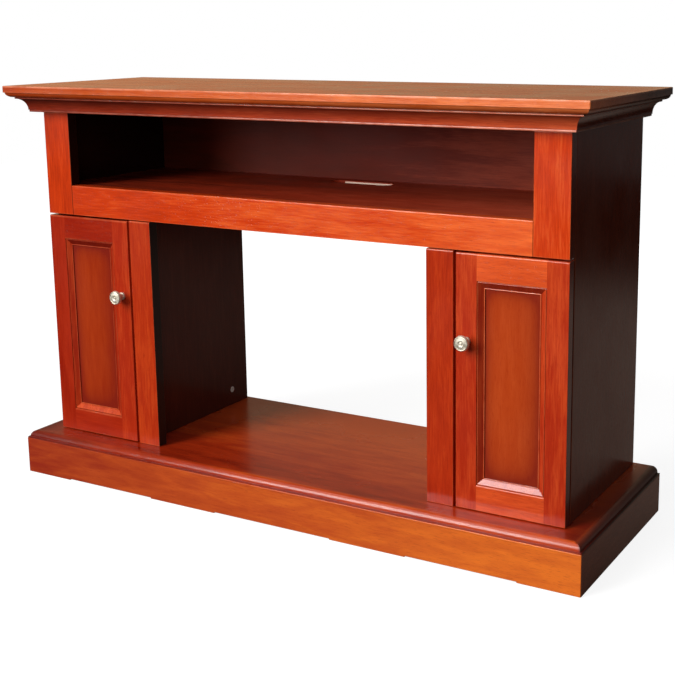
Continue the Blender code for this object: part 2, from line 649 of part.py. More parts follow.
def build_door(word, sign):
    """Builds one door on an empty that stands on its hinge axis."""
    pivot = bpy.data.objects.new(f"door_{word}_pivot", None)
    pivot.location = (sign * X_PIVOT, Y_PIVOT, Z_DOOR_LOW)
    bpy.context.scene.collection.objects.link(pivot)
    depth = (Y_FACE, Y_DOOR_BACK)
    height = (Z_DOOR_LOW, Z_DOOR_HIGH)
    outer_edge = X_DOOR_OUTER - DOOR_STILE_WIDTH
    inner_edge = X_DOOR_INNER + DOOR_STILE_WIDTH
    hinge_span = (sign * outer_edge, sign * X_DOOR_OUTER)
    hinge_stile = board(f"door_{word}_hinge_stile", hinge_span, depth, height, CHERRY_DOOR, pivot)
    knob_span = (sign * X_DOOR_INNER, sign * inner_edge)
    knob_stile = board(f"door_{word}_knob_stile", knob_span, depth, height, CHERRY_DOOR, pivot)
    rail_span = (sign * (inner_edge + FIT), sign * (outer_edge - FIT))
    low_rail = (Z_DOOR_LOW, Z_DOOR_LOW + DOOR_RAIL_HEIGHT)
    high_rail = (Z_DOOR_HIGH - DOOR_RAIL_HEIGHT, Z_DOOR_HIGH)
    board(f"door_{word}_bottom_rail", rail_span, depth, low_rail, CHERRY_DOOR, pivot)
    board(f"door_{word}_top_rail", rail_span, depth, high_rail, CHERRY_DOOR, pivot)
    opening_x = (sign * inner_edge, sign * outer_edge)
    opening_z = (low_rail[1], high_rail[0])
    build_panel_moulding(pivot, word, opening_x, opening_z)
    panel_x = (sign * (inner_edge + FIT), sign * (outer_edge - FIT))
    panel_y = (Y_FACE + PANEL_RECESS, Y_FACE + PANEL_RECESS + PANEL_THICKNESS)
    panel_z = (opening_z[0] + FIT, opening_z[1] - FIT)
    board(f"door_{word}_panel", panel_x, panel_y, panel_z, CHERRY_PANEL, pivot)
    build_knob(knob_stile, pivot, word, sign)
    for spot, level in hinge_levels():
        build_hinge_cup(hinge_stile, pivot, word, sign, spot, level)
        build_hinge_arm(word, sign, spot, level)


def build():
    """Builds the whole stand."""
    clear_scene()
    build_base()
    build_cupboards()
    build_face_frame()
    build_media_compartment()
    build_crown()
    build_top()
    for word, sign in SIDES:
        build_door(word, sign)


build()
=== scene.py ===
"""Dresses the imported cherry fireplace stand: eased boards, fine mouldings, grain, stain and lacquer.

Metres, +Z up, and the front faces -Y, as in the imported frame.
"""

import logging
import math
from dataclasses import dataclass, field, replace
from enum import Enum
from functools import partial
from typing import Any, Callable, Sequence

import bmesh
import bpy
import numpy as np
from mathutils import Matrix, Vector


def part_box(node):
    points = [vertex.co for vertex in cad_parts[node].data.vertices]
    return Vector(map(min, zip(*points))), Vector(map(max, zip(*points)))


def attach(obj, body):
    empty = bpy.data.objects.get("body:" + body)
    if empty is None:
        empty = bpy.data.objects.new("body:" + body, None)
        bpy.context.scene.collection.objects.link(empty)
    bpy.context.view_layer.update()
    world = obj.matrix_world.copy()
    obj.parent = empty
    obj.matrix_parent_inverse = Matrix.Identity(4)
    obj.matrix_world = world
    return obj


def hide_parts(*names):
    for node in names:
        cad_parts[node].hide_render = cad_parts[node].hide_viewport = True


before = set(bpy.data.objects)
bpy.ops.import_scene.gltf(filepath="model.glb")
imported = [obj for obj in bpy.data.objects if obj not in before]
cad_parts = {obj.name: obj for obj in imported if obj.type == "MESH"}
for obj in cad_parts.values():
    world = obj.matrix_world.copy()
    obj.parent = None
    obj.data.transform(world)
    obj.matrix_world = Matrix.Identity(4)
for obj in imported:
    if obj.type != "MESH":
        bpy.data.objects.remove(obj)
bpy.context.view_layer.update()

LOG = logging.getLogger("fireplace_stand")

Colour = tuple[int, int, int]
Point = tuple[float, float, float]
Four = tuple[float, float, float, float]
Socket = bpy.types.NodeSocket

CABINET = "cabinet"
FIT = 0.0003  # between pieces that touch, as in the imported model
WELD = 1e-6  # joins grid points that fall on one place
CREASE = math.radians(28)  # a sharper edge stays a crease
EASE_STEPS = 5
BAND = 0.0016  # of a flat face beside an eased edge
EASE_ROOM = 0.7  # share of the largest easing that a thin board's bands stay clear of
ARC_STEPS = 14
TURN_STEPS = 56
# Where points stand along a moulded front
FRONT_SHARES = np.concatenate([[0.004, 0.03], np.linspace(0.08, 0.92, 9), [0.97, 0.996]])
FRONTWARD = (0.0, -1.0, 0.0)
WHITE = (1.0, 1.0, 1.0, 1.0)


class Side(Enum):
    """The two sides of the stand, as seen from the front."""

    LEFT = -1
    RIGHT = 1

    @property
    def word(self) -> str:
        """The side's word in the names of nodes and pieces."""
        return self.name.lower()


class Grain(Enum):
    """The axis that the grain follows, as the turn that brings that axis onto X."""

    ALONG_X = (0.0, 0.0, 0.0)
    ALONG_Y = (0.0, 0.0, -math.pi / 2)
    ALONG_Z = (0.0, math.pi / 2, 0.0)


def linear(colour: Colour) -> Four:
    """Turns a colour of sRGB channels into linear values.

    Args:
        colour: Red, green and blue from 0 to 255.

    Returns:
        Linear red, green and blue, and a full alpha.
    """
    share = np.asarray(colour, dtype=float) / 255
    value = np.where(share <= 0.04045, share / 12.92, ((share + 0.055) / 1.055) ** 2.4)
    return (*value.tolist(), 1.0)


# Node trees


class Wiring:
    """Adds nodes to one node tree and joins them."""

    def __init__(self, tree: bpy.types.NodeTree) -> None:
        """Keeps the tree that the nodes go into."""
        self.tree = tree

    def fill(self, node: bpy.types.Node, inputs: dict[Any, Any]) -> None:
        """Sets inputs of a node.

        Args:
            node: The node.
            inputs: A value, or a socket to link from, for each named or numbered input.
        """
        for key, value in inputs.items():
            if isinstance(value, Socket):
                self.tree.links.new(value, node.inputs[key])
            else:
                node.inputs[key].default_value = value

    def add(self, kind: str, inputs: dict[Any, Any] | None = None, **settings: Any) -> Any:
        """Adds one node.

        Args:
            kind: Blender's name of the node's type, after ShaderNode.
            inputs: Values and sockets for its inputs.
            settings: Values of the node's own properties.

        Returns:
            The node's outputs.
        """
        node = self.tree.nodes.new(f"ShaderNode{kind}")
        for key, value in settings.items():
            setattr(node, key, value)
        self.fill(node, inputs or {})
        return node.outputs

    def math(self, operation: str, *terms: Any, clamp: bool = False) -> Socket:
        """Adds a Math node on two or three terms and returns its value."""
        return self.add("Math", dict(enumerate(terms)), operation=operation, use_clamp=clamp)[0]

    def mix(self, factor: Any, first: Any, second: Any) -> Socket:
        """Mixes two colours, by the share of the second one."""
        inputs = {0: factor, 6: first, 7: second}
        return self.add("Mix", inputs, data_type="RGBA")[2]

    def ramp(self, value: Any, low: float, high: float, start: float = 0.0, end: float = 1.0) -> Socket:
        """Maps a value smoothly, so that low and below give start, and high and above give end."""
        inputs = {"Value": value, "From Min": low, "From Max": high, "To Min": start, "To Max": end}
        return self.add("MapRange", inputs, interpolation_type="SMOOTHSTEP")["Result"]

    def stretch(self, vector: Any, scale: Point, turn: Point = (0.0, 0.0, 0.0)) -> Socket:
        """Adds a Mapping node that turns and scales a position."""
        return self.add("Mapping", {"Vector": vector, "Scale": scale, "Rotation": turn})[0]

    def noise(self, vector: Any, detail: float, distortion: float = 0.0, scale: float = 1.0) -> Socket:
        """Adds a Noise texture and returns its value, which is about 0.5 in the mean."""
        inputs = {"Vector": vector, "Scale": scale, "Detail": detail, "Distortion": distortion}
        return self.add("TexNoise", inputs)[0]


def sockets(**kinds: str) -> dict[str, str]:
    """Gives the kind of each named socket, from the names of each kind, with _ for a space."""
    return {name.replace("_", " "): kind for kind, names in kinds.items() for name in names.split()}


@dataclass
class Effect:
    """A shader node group that is built at its first use and placed in many materials.

    Its nodes function gets the group's wiring and inputs, and returns a socket for each output.
    """

    name: str
    inputs: dict[str, str]
    outputs: dict[str, str]
    nodes: Callable[[Wiring, Any], dict[str, Socket]]
    tree: bpy.types.NodeTree | None = None

    def place(self, wiring: Wiring, values: dict[str, Any]) -> Any:
        """Places the group among a material's nodes.

        Args:
            wiring: The material's wiring.
            values: A value or a socket for each input.

        Returns:
            The group's outputs.
        """
        if self.tree is None:
            self.tree = bpy.data.node_groups.new(self.name, "ShaderNodeTree")
            for direction, names in (("INPUT", self.inputs), ("OUTPUT", self.outputs)):
                for label, kind in names.items():
                    self.tree.interface.new_socket(label, in_out=direction, socket_type=f"NodeSocket{kind}")
            inner = Wiring(self.tree)
            given = self.tree.nodes.new("NodeGroupInput").outputs
            inner.fill(self.tree.nodes.new("NodeGroupOutput"), self.nodes(inner, given))
        return wiring.add("Group", values, node_tree=self.tree)


BOARD_SHIFT = (1.7, 0.9, 1.3)  # moves the grain for each unit of a board's number
# Cells a metre along and across the grain, detail, distortion, and the noise that gives 0 and 1
GRAIN_SCALES = {
    "Figure": (4.0, 24.0, 3.0, 1.2, 0.30, 0.70),
    "Mottle": (10.0, 60.0, 3.0, 0.6, 0.30, 0.70),
    "Fibres": (26.0, 400.0, 3.0, 0.0, 0.28, 0.72),
    "Pores": (80.0, 1300.0, 1.0, 0.0, 0.60, 0.72),
}
PORE_SHADE = 0.38
FIBRE_HEIGHT, PORE_HEIGHT, PEEL_HEIGHT = 0.55, -0.9, 0.5  # in the lacquer's swell
WORN_ROUGHNESS = -0.05  # which wear adds to the lacquer's
SCRATCH_SCALES = (3000.0, 3000.0, 260.0)  # cells a metre in plated metal
CLOUD_SHARE = 0.5  # of the slow noise in the roughness of plated metal
BOARD_STEP = 0.37  # from one board's number to the next


def grain_nodes(wiring: Wiring, given: Any) -> dict[str, Socket]:
    """Shifts the position by the board's number, then stretches noise along X at four scales.

    Args:
        wiring: The group's wiring.
        given: The group's inputs.

    Returns:
        Broad figure, mottle, fine fibres and short pores.
    """
    shift = {0: given["Board"], 1: BOARD_SHIFT, 2: given["Position"]}
    place = wiring.add("VectorMath", shift, operation="MULTIPLY_ADD")[0]
    found = {}
    for name, (along, across, detail, distortion, low, high) in GRAIN_SCALES.items():
        streaks = wiring.noise(wiring.stretch(place, (along, across, across)), detail, distortion)
        found[name] = wiring.ramp(streaks, low, high)
    return found


def stain_nodes(wiring: Wiring, given: Any) -> dict[str, Socket]:
    """Sums the grain's parts and the board's tone into one depth, and reads three colours along it.

    Args:
        wiring: The group's wiring.
        given: The group's inputs.

    Returns:
        The stain's colour, darker in the pores.
    """
    depth: Any = given["Tone"]
    for part in ("Figure", "Mottle", "Fibres"):
        depth = wiring.math("MULTIPLY_ADD", given[part], given[f"{part} Share"], depth, clamp=part == "Fibres")
    lower = wiring.math("MULTIPLY", depth, 2.0, clamp=True)
    upper = wiring.math("MULTIPLY_ADD", depth, 2.0, -1.0, clamp=True)
    stained = wiring.mix(upper, wiring.mix(lower, given["Dark"], given["Middle"]), given["Light"])
    return {"Colour": wiring.mix(wiring.math("MULTIPLY", given["Pores"], PORE_SHADE), stained, given["Dark"])}


def rubbed_and_highlight_nodes(wiring: Wiring, given: Any) -> dict[str, Socket]:
    """Breaks the worn edges up with noise, and mixes in the colour of thin stain: rub-through, and painted
    highlights on the edges that catch the light.

    Args:
        wiring: The group's wiring.
        given: The group's inputs.

    Returns:
        The colour with its rub-through and painted highlights on the edges.
    """
    patches = wiring.noise(given["Position"], detail=3.0, scale=38.0)
    patchy = wiring.ramp(patches, low=0.30, high=0.65, start=0.35)
    share = wiring.math("MULTIPLY", wiring.math("MULTIPLY", given["Wear"], patchy), given["Amount"])
    return {"Colour": wiring.mix(share, given["Colour"], given["Rubbed"])}


def lacquer_nodes(wiring: Wiring, given: Any) -> dict[str, Socket]:
    """Adds slow cloudiness to the roughness, and sums fibres, pores and orange peel into a height.

    Args:
        wiring: The group's wiring.
        given: The group's inputs.

    Returns:
        The lacquer's roughness, and the faint swell that shows the grain.
    """
    clouds = wiring.noise(given["Position"], detail=3.0, scale=9.0)
    cloud = wiring.ramp(clouds, low=0.30, high=0.70, start=-0.05, end=0.06)
    cloudy = wiring.math("ADD", given["Roughness"], cloud)
    peel = wiring.math("MULTIPLY", wiring.noise(given["Position"], detail=1.0, scale=260.0), PEEL_HEIGHT)
    raised = wiring.math("MULTIPLY_ADD", given["Fibres"], FIBRE_HEIGHT, peel)
    return {
        "Roughness": wiring.math("MULTIPLY_ADD", given["Wear"], WORN_ROUGHNESS, cloudy),
        "Height": wiring.math("MULTIPLY_ADD", given["Pores"], PORE_HEIGHT, raised),
    }


def plated_nodes(wiring: Wiring, given: Any) -> dict[str, Socket]:
    """Mixes two greys by slow noise, and takes scratches from noise stretched along Z.

    Args:
        wiring: The group's wiring.
        given: The group's inputs.

    Returns:
        The plated metal's colour, roughness and height.
    """
    cloud = wiring.ramp(wiring.noise(given["Position"], detail=3.0, scale=160.0), low=0.3, high=0.7)
    scratch = wiring.noise(wiring.stretch(given["Position"], SCRATCH_SCALES), detail=2.0)
    rough = wiring.math("MULTIPLY_ADD", cloud, CLOUD_SHARE, scratch)
    uneven = wiring.ramp(rough, low=0.4, high=1.1, start=-0.07, end=0.09)
    return {
        "Colour": wiring.mix(cloud, given["Dull"], given["Bright"]),
        "Roughness": wiring.math("ADD", uneven, given["Roughness"]),
        "Height": scratch,
    }


CHERRY_GRAIN = Effect(
    "cherry_grain",
    sockets(Vector="Position", Float="Board"),
    sockets(Float="Figure Mottle Fibres Pores"),
    grain_nodes,
)
CHERRY_STAIN = Effect(
    "cherry_stain",
    sockets(
        Float="Figure Mottle Fibres Pores Tone Figure_Share Mottle_Share Fibres_Share",
        Color="Dark Middle Light",
    ),
    sockets(Color="Colour"),
    stain_nodes,
)
# Lightens edges by the wear attribute: rub-through of the stain, and painted highlights where edges catch the
# light
RUBBED_EDGE_AND_HIGHLIGHT = Effect(
    "rubbed_edge",
    sockets(Vector="Position", Float="Wear Amount", Color="Colour Rubbed"),
    sockets(Color="Colour"),
    rubbed_and_highlight_nodes,
)
LACQUER_FILM = Effect(
    "lacquer_film",
    sockets(Vector="Position", Float="Roughness Fibres Pores Wear"),
    sockets(Float="Roughness Height"),
    lacquer_nodes,
)
PLATED_METAL = Effect(
    "plated_metal",
    sockets(Vector="Position", Color="Dull Bright", Float="Roughness"),
    sockets(Color="Colour", Float="Roughness Height"),
    plated_nodes,
)


# Finishes


@dataclass(frozen=True)
class Finish:
    """A named finish and the record's slot that it belongs to."""

    name: str
    slot: str

    def start(self) -> tuple[Wiring, bpy.types.Node, Socket]:
        """Makes an empty material.

        Returns:
            The material's wiring, its shader, and the Object coordinates.
        """
        made = bpy.data.materials.new(self.name)
        made.use_nodes = True
        wiring = Wiring(made.node_tree)
        shader = made.node_tree.nodes["Principled BSDF"]
        return wiring, shader, wiring.add("TexCoord")["Object"]

    def material(self) -> bpy.types.Material:
        """Gives the material, and makes it at its first use.

        Returns:
            The material.
        """
        if self.name not in bpy.data.materials:
            self.wire()
        return bpy.data.materials[self.name]

    def wire(self) -> None:
        """Makes the material's nodes."""
        raise NotImplementedError


@dataclass(frozen=True)
class Cherry(Finish):
    """Stained and lacquered cherry.

    The stain's three colours go from the darkest to the lightest. Figure, mottle and fibres are the shares of
    the grain's parts in the depth of the stain, and depth is its mean. Painted_light_lean changes the depth
    for each metre along X, Y and Z: painted light and shade, lighter where the light falls more.
    Glaze_and_shade is the share of the toned colour where a piece's attribute asks for it: painted shade on
    faces, hollows and edges out of the light, with a real glaze on the panels' rims; above 1 the colour goes
    on towards deep, which is painted shade only. Dulling is the roughness that this adds. Rubbed_and_highlight
    is the colour of rub-through and of painted highlights on edges. Cut_box holds the faces that show bare
    wood.
    """

    stain: tuple[Colour, Colour, Colour] = ((175, 42, 10), (208, 68, 22), (240, 106, 46))
    # Colour of rub-through on edges, which also paints their highlights
    rubbed: Colour = (240, 130, 80)
    # Colour of the glaze, and of painted shade where faces are out of the light
    toned: Colour = (96, 22, 12)
    # Painted shade: the colour for faces that lie deepest in shade
    deep: Colour = (32, 10, 6)
    grain: Grain = Grain.ALONG_X
    figure: float = 0.14
    mottle: float = 0.14
    fibres: float = 0.20
    depth: float = 0.26
    # Painted light and shade: the stain's depth changes for each metre along X, Y and Z
    lean: Point = (0.0, 0.0, 0.0)
    rubbing_and_highlight: float = 0.22
    # Painted shade and glaze: share of the toned colour where a piece's attribute asks for it
    toning: float = 0.0
    dulling: float = 0.0
    roughness: float = 0.20
    coat: float = 0.20
    coat_roughness: float = 0.08
    specular: float = 0.30
    bump: float = 0.16
    bump_height: float = 0.0006
    cut_box: tuple[Point, Point] | None = None
    # Pale bare wood, made as pale as it goes to paint the light on the slot's rear wall
    lit_cut_wood: Colour = (255, 228, 206)

    def along(self, grain: Grain) -> "Cherry":
        """Gives the same finish with the grain along another axis."""
        return replace(self, name=f"{self.name}_{grain.name.lower()}", grain=grain)

    def wire(self) -> None:
        """Joins grain, stain, glaze and painted shade, rub-through and painted highlights on edges, and
        lacquer into one material.
        """
        wiring, shader, position = self.start()
        names = ("board", "tone", "wear", "toning")
        board, tone, wear, edge_glaze_and_shade = (self.read(wiring, name) for name in names)
        along = wiring.stretch(position, (1.0, 1.0, 1.0), self.grain.value)
        grain = CHERRY_GRAIN.place(wiring, {"Position": along, "Board": board})
        stain = {name: grain[name] for name in GRAIN_SCALES}
        stain |= {"Figure Share": self.figure, "Mottle Share": self.mottle, "Fibres Share": self.fibres}
        stain |= zip(("Dark", "Middle", "Light"), map(linear, self.stain))
        lean = wiring.add("VectorMath", {0: position, 1: self.lean}, operation="DOT_PRODUCT")
        stain["Tone"] = wiring.math("ADD", wiring.math("ADD", tone, self.depth), lean["Value"])
        colour = CHERRY_STAIN.place(wiring, stain)["Colour"]
        # Painted shade: the toned colour, then the deep colour above 1
        glaze_and_shade_share = wiring.math("MINIMUM", edge_glaze_and_shade, 1.0)
        if self.toning > 0:
            colour = wiring.mix(wiring.math("MULTIPLY", glaze_and_shade_share, self.toning), colour, linear(self.toned))
            painted_shade_share = wiring.math("SUBTRACT", edge_glaze_and_shade, 1.0, clamp=True)
            colour = wiring.mix(painted_shade_share, colour, linear(self.deep))
        edge = {"Position": position, "Wear": wear, "Amount": self.rubbing_and_highlight, "Colour": colour}
        colour = RUBBED_EDGE_AND_HIGHLIGHT.place(wiring, edge | {"Rubbed": linear(self.rubbed)})["Colour"]
        if self.cut_box is not None:
            colour = wiring.mix(self.inside(wiring, position), colour, linear(self.lit_cut_wood))
        film = {name: grain[name] for name in ("Fibres", "Pores")} | {"Position": position, "Wear": wear}
        film["Roughness"] = wiring.math("MULTIPLY_ADD", glaze_and_shade_share, self.dulling, self.roughness)
        lacquer = LACQUER_FILM.place(wiring, film)
        relief = {"Height": lacquer["Height"], "Strength": self.bump, "Distance": self.bump_height}
        surface = {"Base Color": colour, "Roughness": lacquer["Roughness"]}
        surface["Normal"] = wiring.add("Bump", relief)[0]
        surface |= {"Specular IOR Level": self.specular, "Coat Weight": self.coat}
        wiring.fill(shader, surface | {"Coat Roughness": self.coat_roughness})

    @staticmethod
    def read(wiring: Wiring, name: str) -> Socket:
        """Reads one of the piece's own attributes, which is 0 where a piece has none."""
        return wiring.add("Attribute", attribute_name=name)["Fac"]

    def inside(self, wiring: Wiring, position: Socket) -> Socket:
        """Makes a mask that is 1 inside the finish's box and 0 outside.

        Args:
            wiring: The material's wiring.
            position: Object coordinates.

        Returns:
            The mask.
        """
        mask: Any = 1.0
        for axis, *ends in zip(wiring.add("SeparateXYZ", {0: position}), *self.cut_box):
            for test, end in zip(("GREATER_THAN", "LESS_THAN"), ends):
                mask = wiring.math("MULTIPLY", mask, wiring.math(test, axis, end))
        return mask


@dataclass(frozen=True)
class Plated(Finish):
    """Plated metal."""

    dull: Colour
    bright: Colour
    roughness: float
    metal: float
    bump: float = 0.08
    bump_height: float = 0.0002

    def wire(self) -> None:
        """Joins the plated metal's group to the shader."""
        wiring, shader, position = self.start()
        values = {"Position": position, "Dull": linear(self.dull), "Bright": linear(self.bright)}
        metal = PLATED_METAL.place(wiring, values | {"Roughness": self.roughness})
        relief = {"Height": metal["Height"], "Strength": self.bump, "Distance": self.bump_height}
        surface = {"Base Color": metal["Colour"], "Roughness": metal["Roughness"], "Metallic": self.metal}
        wiring.fill(shader, surface | {"Normal": wiring.add("Bump", relief)[0]})


FRAME_WOOD = Cherry(
    "frame_cherry",
    "cherry_frame",
    stain=((150, 32, 6), (208, 60, 13), (250, 114, 50)),
    # Painted shade for the frame's ends and returns that face away from the light
    toned=(84, 30, 18),
    toning=0.85,
    rubbing_and_highlight=0.3,
)
# Painted shade: a darker copy of the frame's stain for the crown in the slab's shadow, with a pinkish rub
# colour that paints highlights on its beads and a near black for the painted shade up its cove
SHADED_CROWN_WOOD = replace(
    FRAME_WOOD,
    name="crown_cherry",
    stain=((124, 32, 14), (176, 60, 30), (228, 98, 52)),
    rubbed=(255, 186, 160),
    toned=(60, 14, 8),
    rubbing_and_highlight=0.6,
    dulling=0.25,
)
INNER_WOOD = replace(
    FRAME_WOOD,
    name="inner_stile_cherry",
    stain=((136, 24, 8), (182, 50, 17), (218, 82, 30)),
    dulling=0.3,
)
DOOR_WOOD = Cherry(
    "door_cherry",
    "cherry_door",
    stain=((140, 20, 4), (178, 46, 18), (236, 96, 42)),
    # Painted shade for the doors' outer ends, which face away from the light
    toned=(92, 18, 8),
    toning=0.85,
    fibres=0.14,
)
MOULDING_WOOD = replace(
    DOOR_WOOD,
    name="moulding_cherry",
    grain=Grain.ALONG_Z,
    # Painted shade in quirks and on bevels away from the light; the rub colour paints the highlights on crests
    # and beads
    toned=(88, 8, 4),
    rubbing_and_highlight=0.5,
    coat=0.26,
    specular=0.42,
    bump=0.05,
)
PANEL_WOOD = Cherry(
    "panel_cherry",
    "cherry_panel",
    stain=((150, 36, 8), (182, 64, 20), (206, 88, 36)),
    # Glaze at the panels' rims, with painted shade of the recess
    toned=(116, 22, 19),
    grain=Grain.ALONG_Z,
    toning=0.75,
    figure=0.10,
    fibres=0.08,
    depth=0.34,
)
TOP_WOOD = Cherry(
    "top_cherry",
    "cherry_top",
    stain=((166, 52, 14), (206, 88, 28), (250, 138, 76)),
    # The rub colour paints highlights on the slab's arris; the toned colour paints shade in the ovolo and on
    # the ends
    rubbed=(255, 176, 140),
    toned=(76, 24, 12),
    rubbing_and_highlight=0.55,
    toning=0.9,
    roughness=0.24,
    coat=0.08,
    specular=0.25,
)
# Partly painted shade: a darker stain than the front's, for faces that stand out of the light
SHADED_CASE_WOOD = Cherry(
    "case_cherry",
    "cherry_case",
    stain=((92, 32, 16), (114, 42, 22), (138, 58, 32)),
    toned=(114, 42, 22),
    toning=0.3,
    coat=0.05,
    specular=0.22,
)
# Painted reflection: a lighter, greyer copy of the case's stain for the skirt's sides, for the sheen they show
SKIRT_SIDE_SHEEN_WOOD = replace(
    SHADED_CASE_WOOD, name="skirt_side_cherry", stain=((114, 54, 36), (138, 68, 47), (160, 84, 60))
)
# Painted shade: a darker copy of the case's stain for the partitions, whose inner faces are out of the light
SHADED_PARTITION_WOOD = replace(
    SHADED_CASE_WOOD, name="partition_cherry", stain=((64, 22, 12), (78, 30, 18), (94, 40, 24))
)
SKIRT_WOOD = Cherry(
    "skirt_cherry",
    "cherry_base",
    stain=((152, 44, 26), (198, 82, 34), (238, 120, 41)),
    fibres=0.07,
    mottle=0.22,
)
BASE_WOOD = Cherry(
    "base_cherry",
    "cherry_base",
    stain=((108, 14, 2), (172, 48, 14), (214, 84, 28)),
    # Painted shade at the ends and in the ledge
    toned=(92, 10, 4),
    toning=0.9,
    figure=0.20,
    mottle=0.19,
    fibres=0.09,
    depth=0.52,
    # Painted shade: the stain darker towards the front strip and the left
    lean=(0.2, 2.5, 0.0),
    dulling=0.25,
    rubbing_and_highlight=0.12,
    roughness=0.22,
    specular=0.4,
)
INSIDE_WOOD = Cherry(
    "inside_cherry",
    "cherry_inside",
    stain=((100, 28, 12), (128, 40, 18), (156, 58, 30)),
    roughness=0.45,
    coat=0.0,
    specular=0.12,
)
BACK_WOOD = replace(
    INSIDE_WOOD,
    name="media_back_cherry",
    stain=((80, 28, 14), (114, 33, 15), (196, 86, 56)),
    # Painted shade: the back darker towards the bay's left, which the light does not reach
    lean=(0.7, 0.0, 0.0),
    mottle=0.07,
    fibres=0.08,
)
SHELF_WOOD = replace(
    INSIDE_WOOD,
    name="media_shelf_cherry",
    stain=((52, 16, 9), (156, 47, 21), (204, 88, 60)),
    # Painted shade: the shelf darker towards the bay's left
    lean=(0.58, 0.0, 0.0),
)
NICKEL = Plated("satin_nickel_plate", "satin_nickel", (205, 196, 176), (240, 233, 216), 0.45, 0.7)
ZINC = Plated("zinc_plate", "zinc", (172, 172, 169), (222, 222, 218), 0.38, 0.6)
# Painted light: a paler, less metallic copy of the zinc, so the cam locks read bright in the shade
LIT_CAM_ZINC = Plated("cam_plate", "zinc", (214, 214, 210), (250, 250, 246), 0.5, 0.2)


# Surfaces


@dataclass
class Surface:
    """A closed surface: points, faces as lists of point numbers, and each point's share of rub-through and
    painted highlight.
    """

    points: np.ndarray
    faces: list[list[int]]
    wear: np.ndarray

    def spread(self, values: np.ndarray) -> np.ndarray:
        """Gives each ring's value to all points of the ring."""
        return np.repeat(values, len(self.points) // len(values))

    @staticmethod
    def joined(parts: Sequence["Surface"]) -> "Surface":
        """Puts several surfaces into one.

        Args:
            parts: The surfaces.

        Returns:
            One surface with all their points and faces.
        """
        faces: list[list[int]] = []
        start = 0
        for part in parts:
            faces += [[number + start for number in face] for face in part.faces]
            start += len(part.points)
        points = np.concatenate([part.points for part in parts])
        return Surface(points, faces, np.concatenate([part.wear for part in parts]))


def ring_faces(count: int, size: int) -> list[list[int]]:
    """Gives the four-sided faces between rings of points that are numbered ring by ring.

    Args:
        count: Number of rings.
        size: Number of points in a ring.

    Returns:
        Four point numbers for each face.
    """
    ring = np.arange(count - 1)[:, None] * size
    place = np.arange(size)[None, :]
    onward = (place + 1) % size
    corners = [ring + place, ring + onward, ring + size + onward, ring + size + place]
    return np.stack(corners, axis=-1).reshape(-1, 4).tolist()


def capped(rings: np.ndarray, wear: np.ndarray | float = 0.0) -> Surface:
    """Joins rings of points in order and closes the first and the last with a face.

    Args:
        rings: Array of rings, points and coordinates.
        wear: Rub-through and painted highlight of each point, as rings by points.

    Returns:
        The closed surface.
    """
    count, size = rings.shape[:2]
    ends = [list(range(size)), list(range((count - 1) * size, count * size))]
    spread = np.broadcast_to(wear, (count, size)).ravel()
    return Surface(rings.reshape(-1, 3), ring_faces(count, size) + ends, spread)


def quarter(
    start: Sequence[float], end: Sequence[float], first_leads: bool, steps: int = ARC_STEPS
) -> np.ndarray:
    """Gives a quarter ellipse between two points of a section.

    One coordinate goes as the sine of the angle and the other as one minus its cosine.

    Args:
        start: First point.
        end: Last point.
        first_leads: Whether the first coordinate moves at once and the second one slowly.
        steps: Number of steps.

    Returns:
        The points, both ends included.
    """
    angle = np.linspace(0.0, math.pi / 2, steps + 1)
    quick, slow = np.sin(angle), 1 - np.cos(angle)
    shares = np.stack([quick, slow] if first_leads else [slow, quick], axis=1)
    return np.asarray(start) + (np.asarray(end) - np.asarray(start)) * shares


def levels(*runs: tuple) -> np.ndarray:
    """Joins runs of values that go evenly from a first to a last one.

    Args:
        runs: For each run, the points that it covers, its first value, and its last where that differs.

    Returns:
        One value for each point.
    """
    return np.concatenate([np.linspace(ends[0], ends[-1], len(points)) for points, *ends in runs])


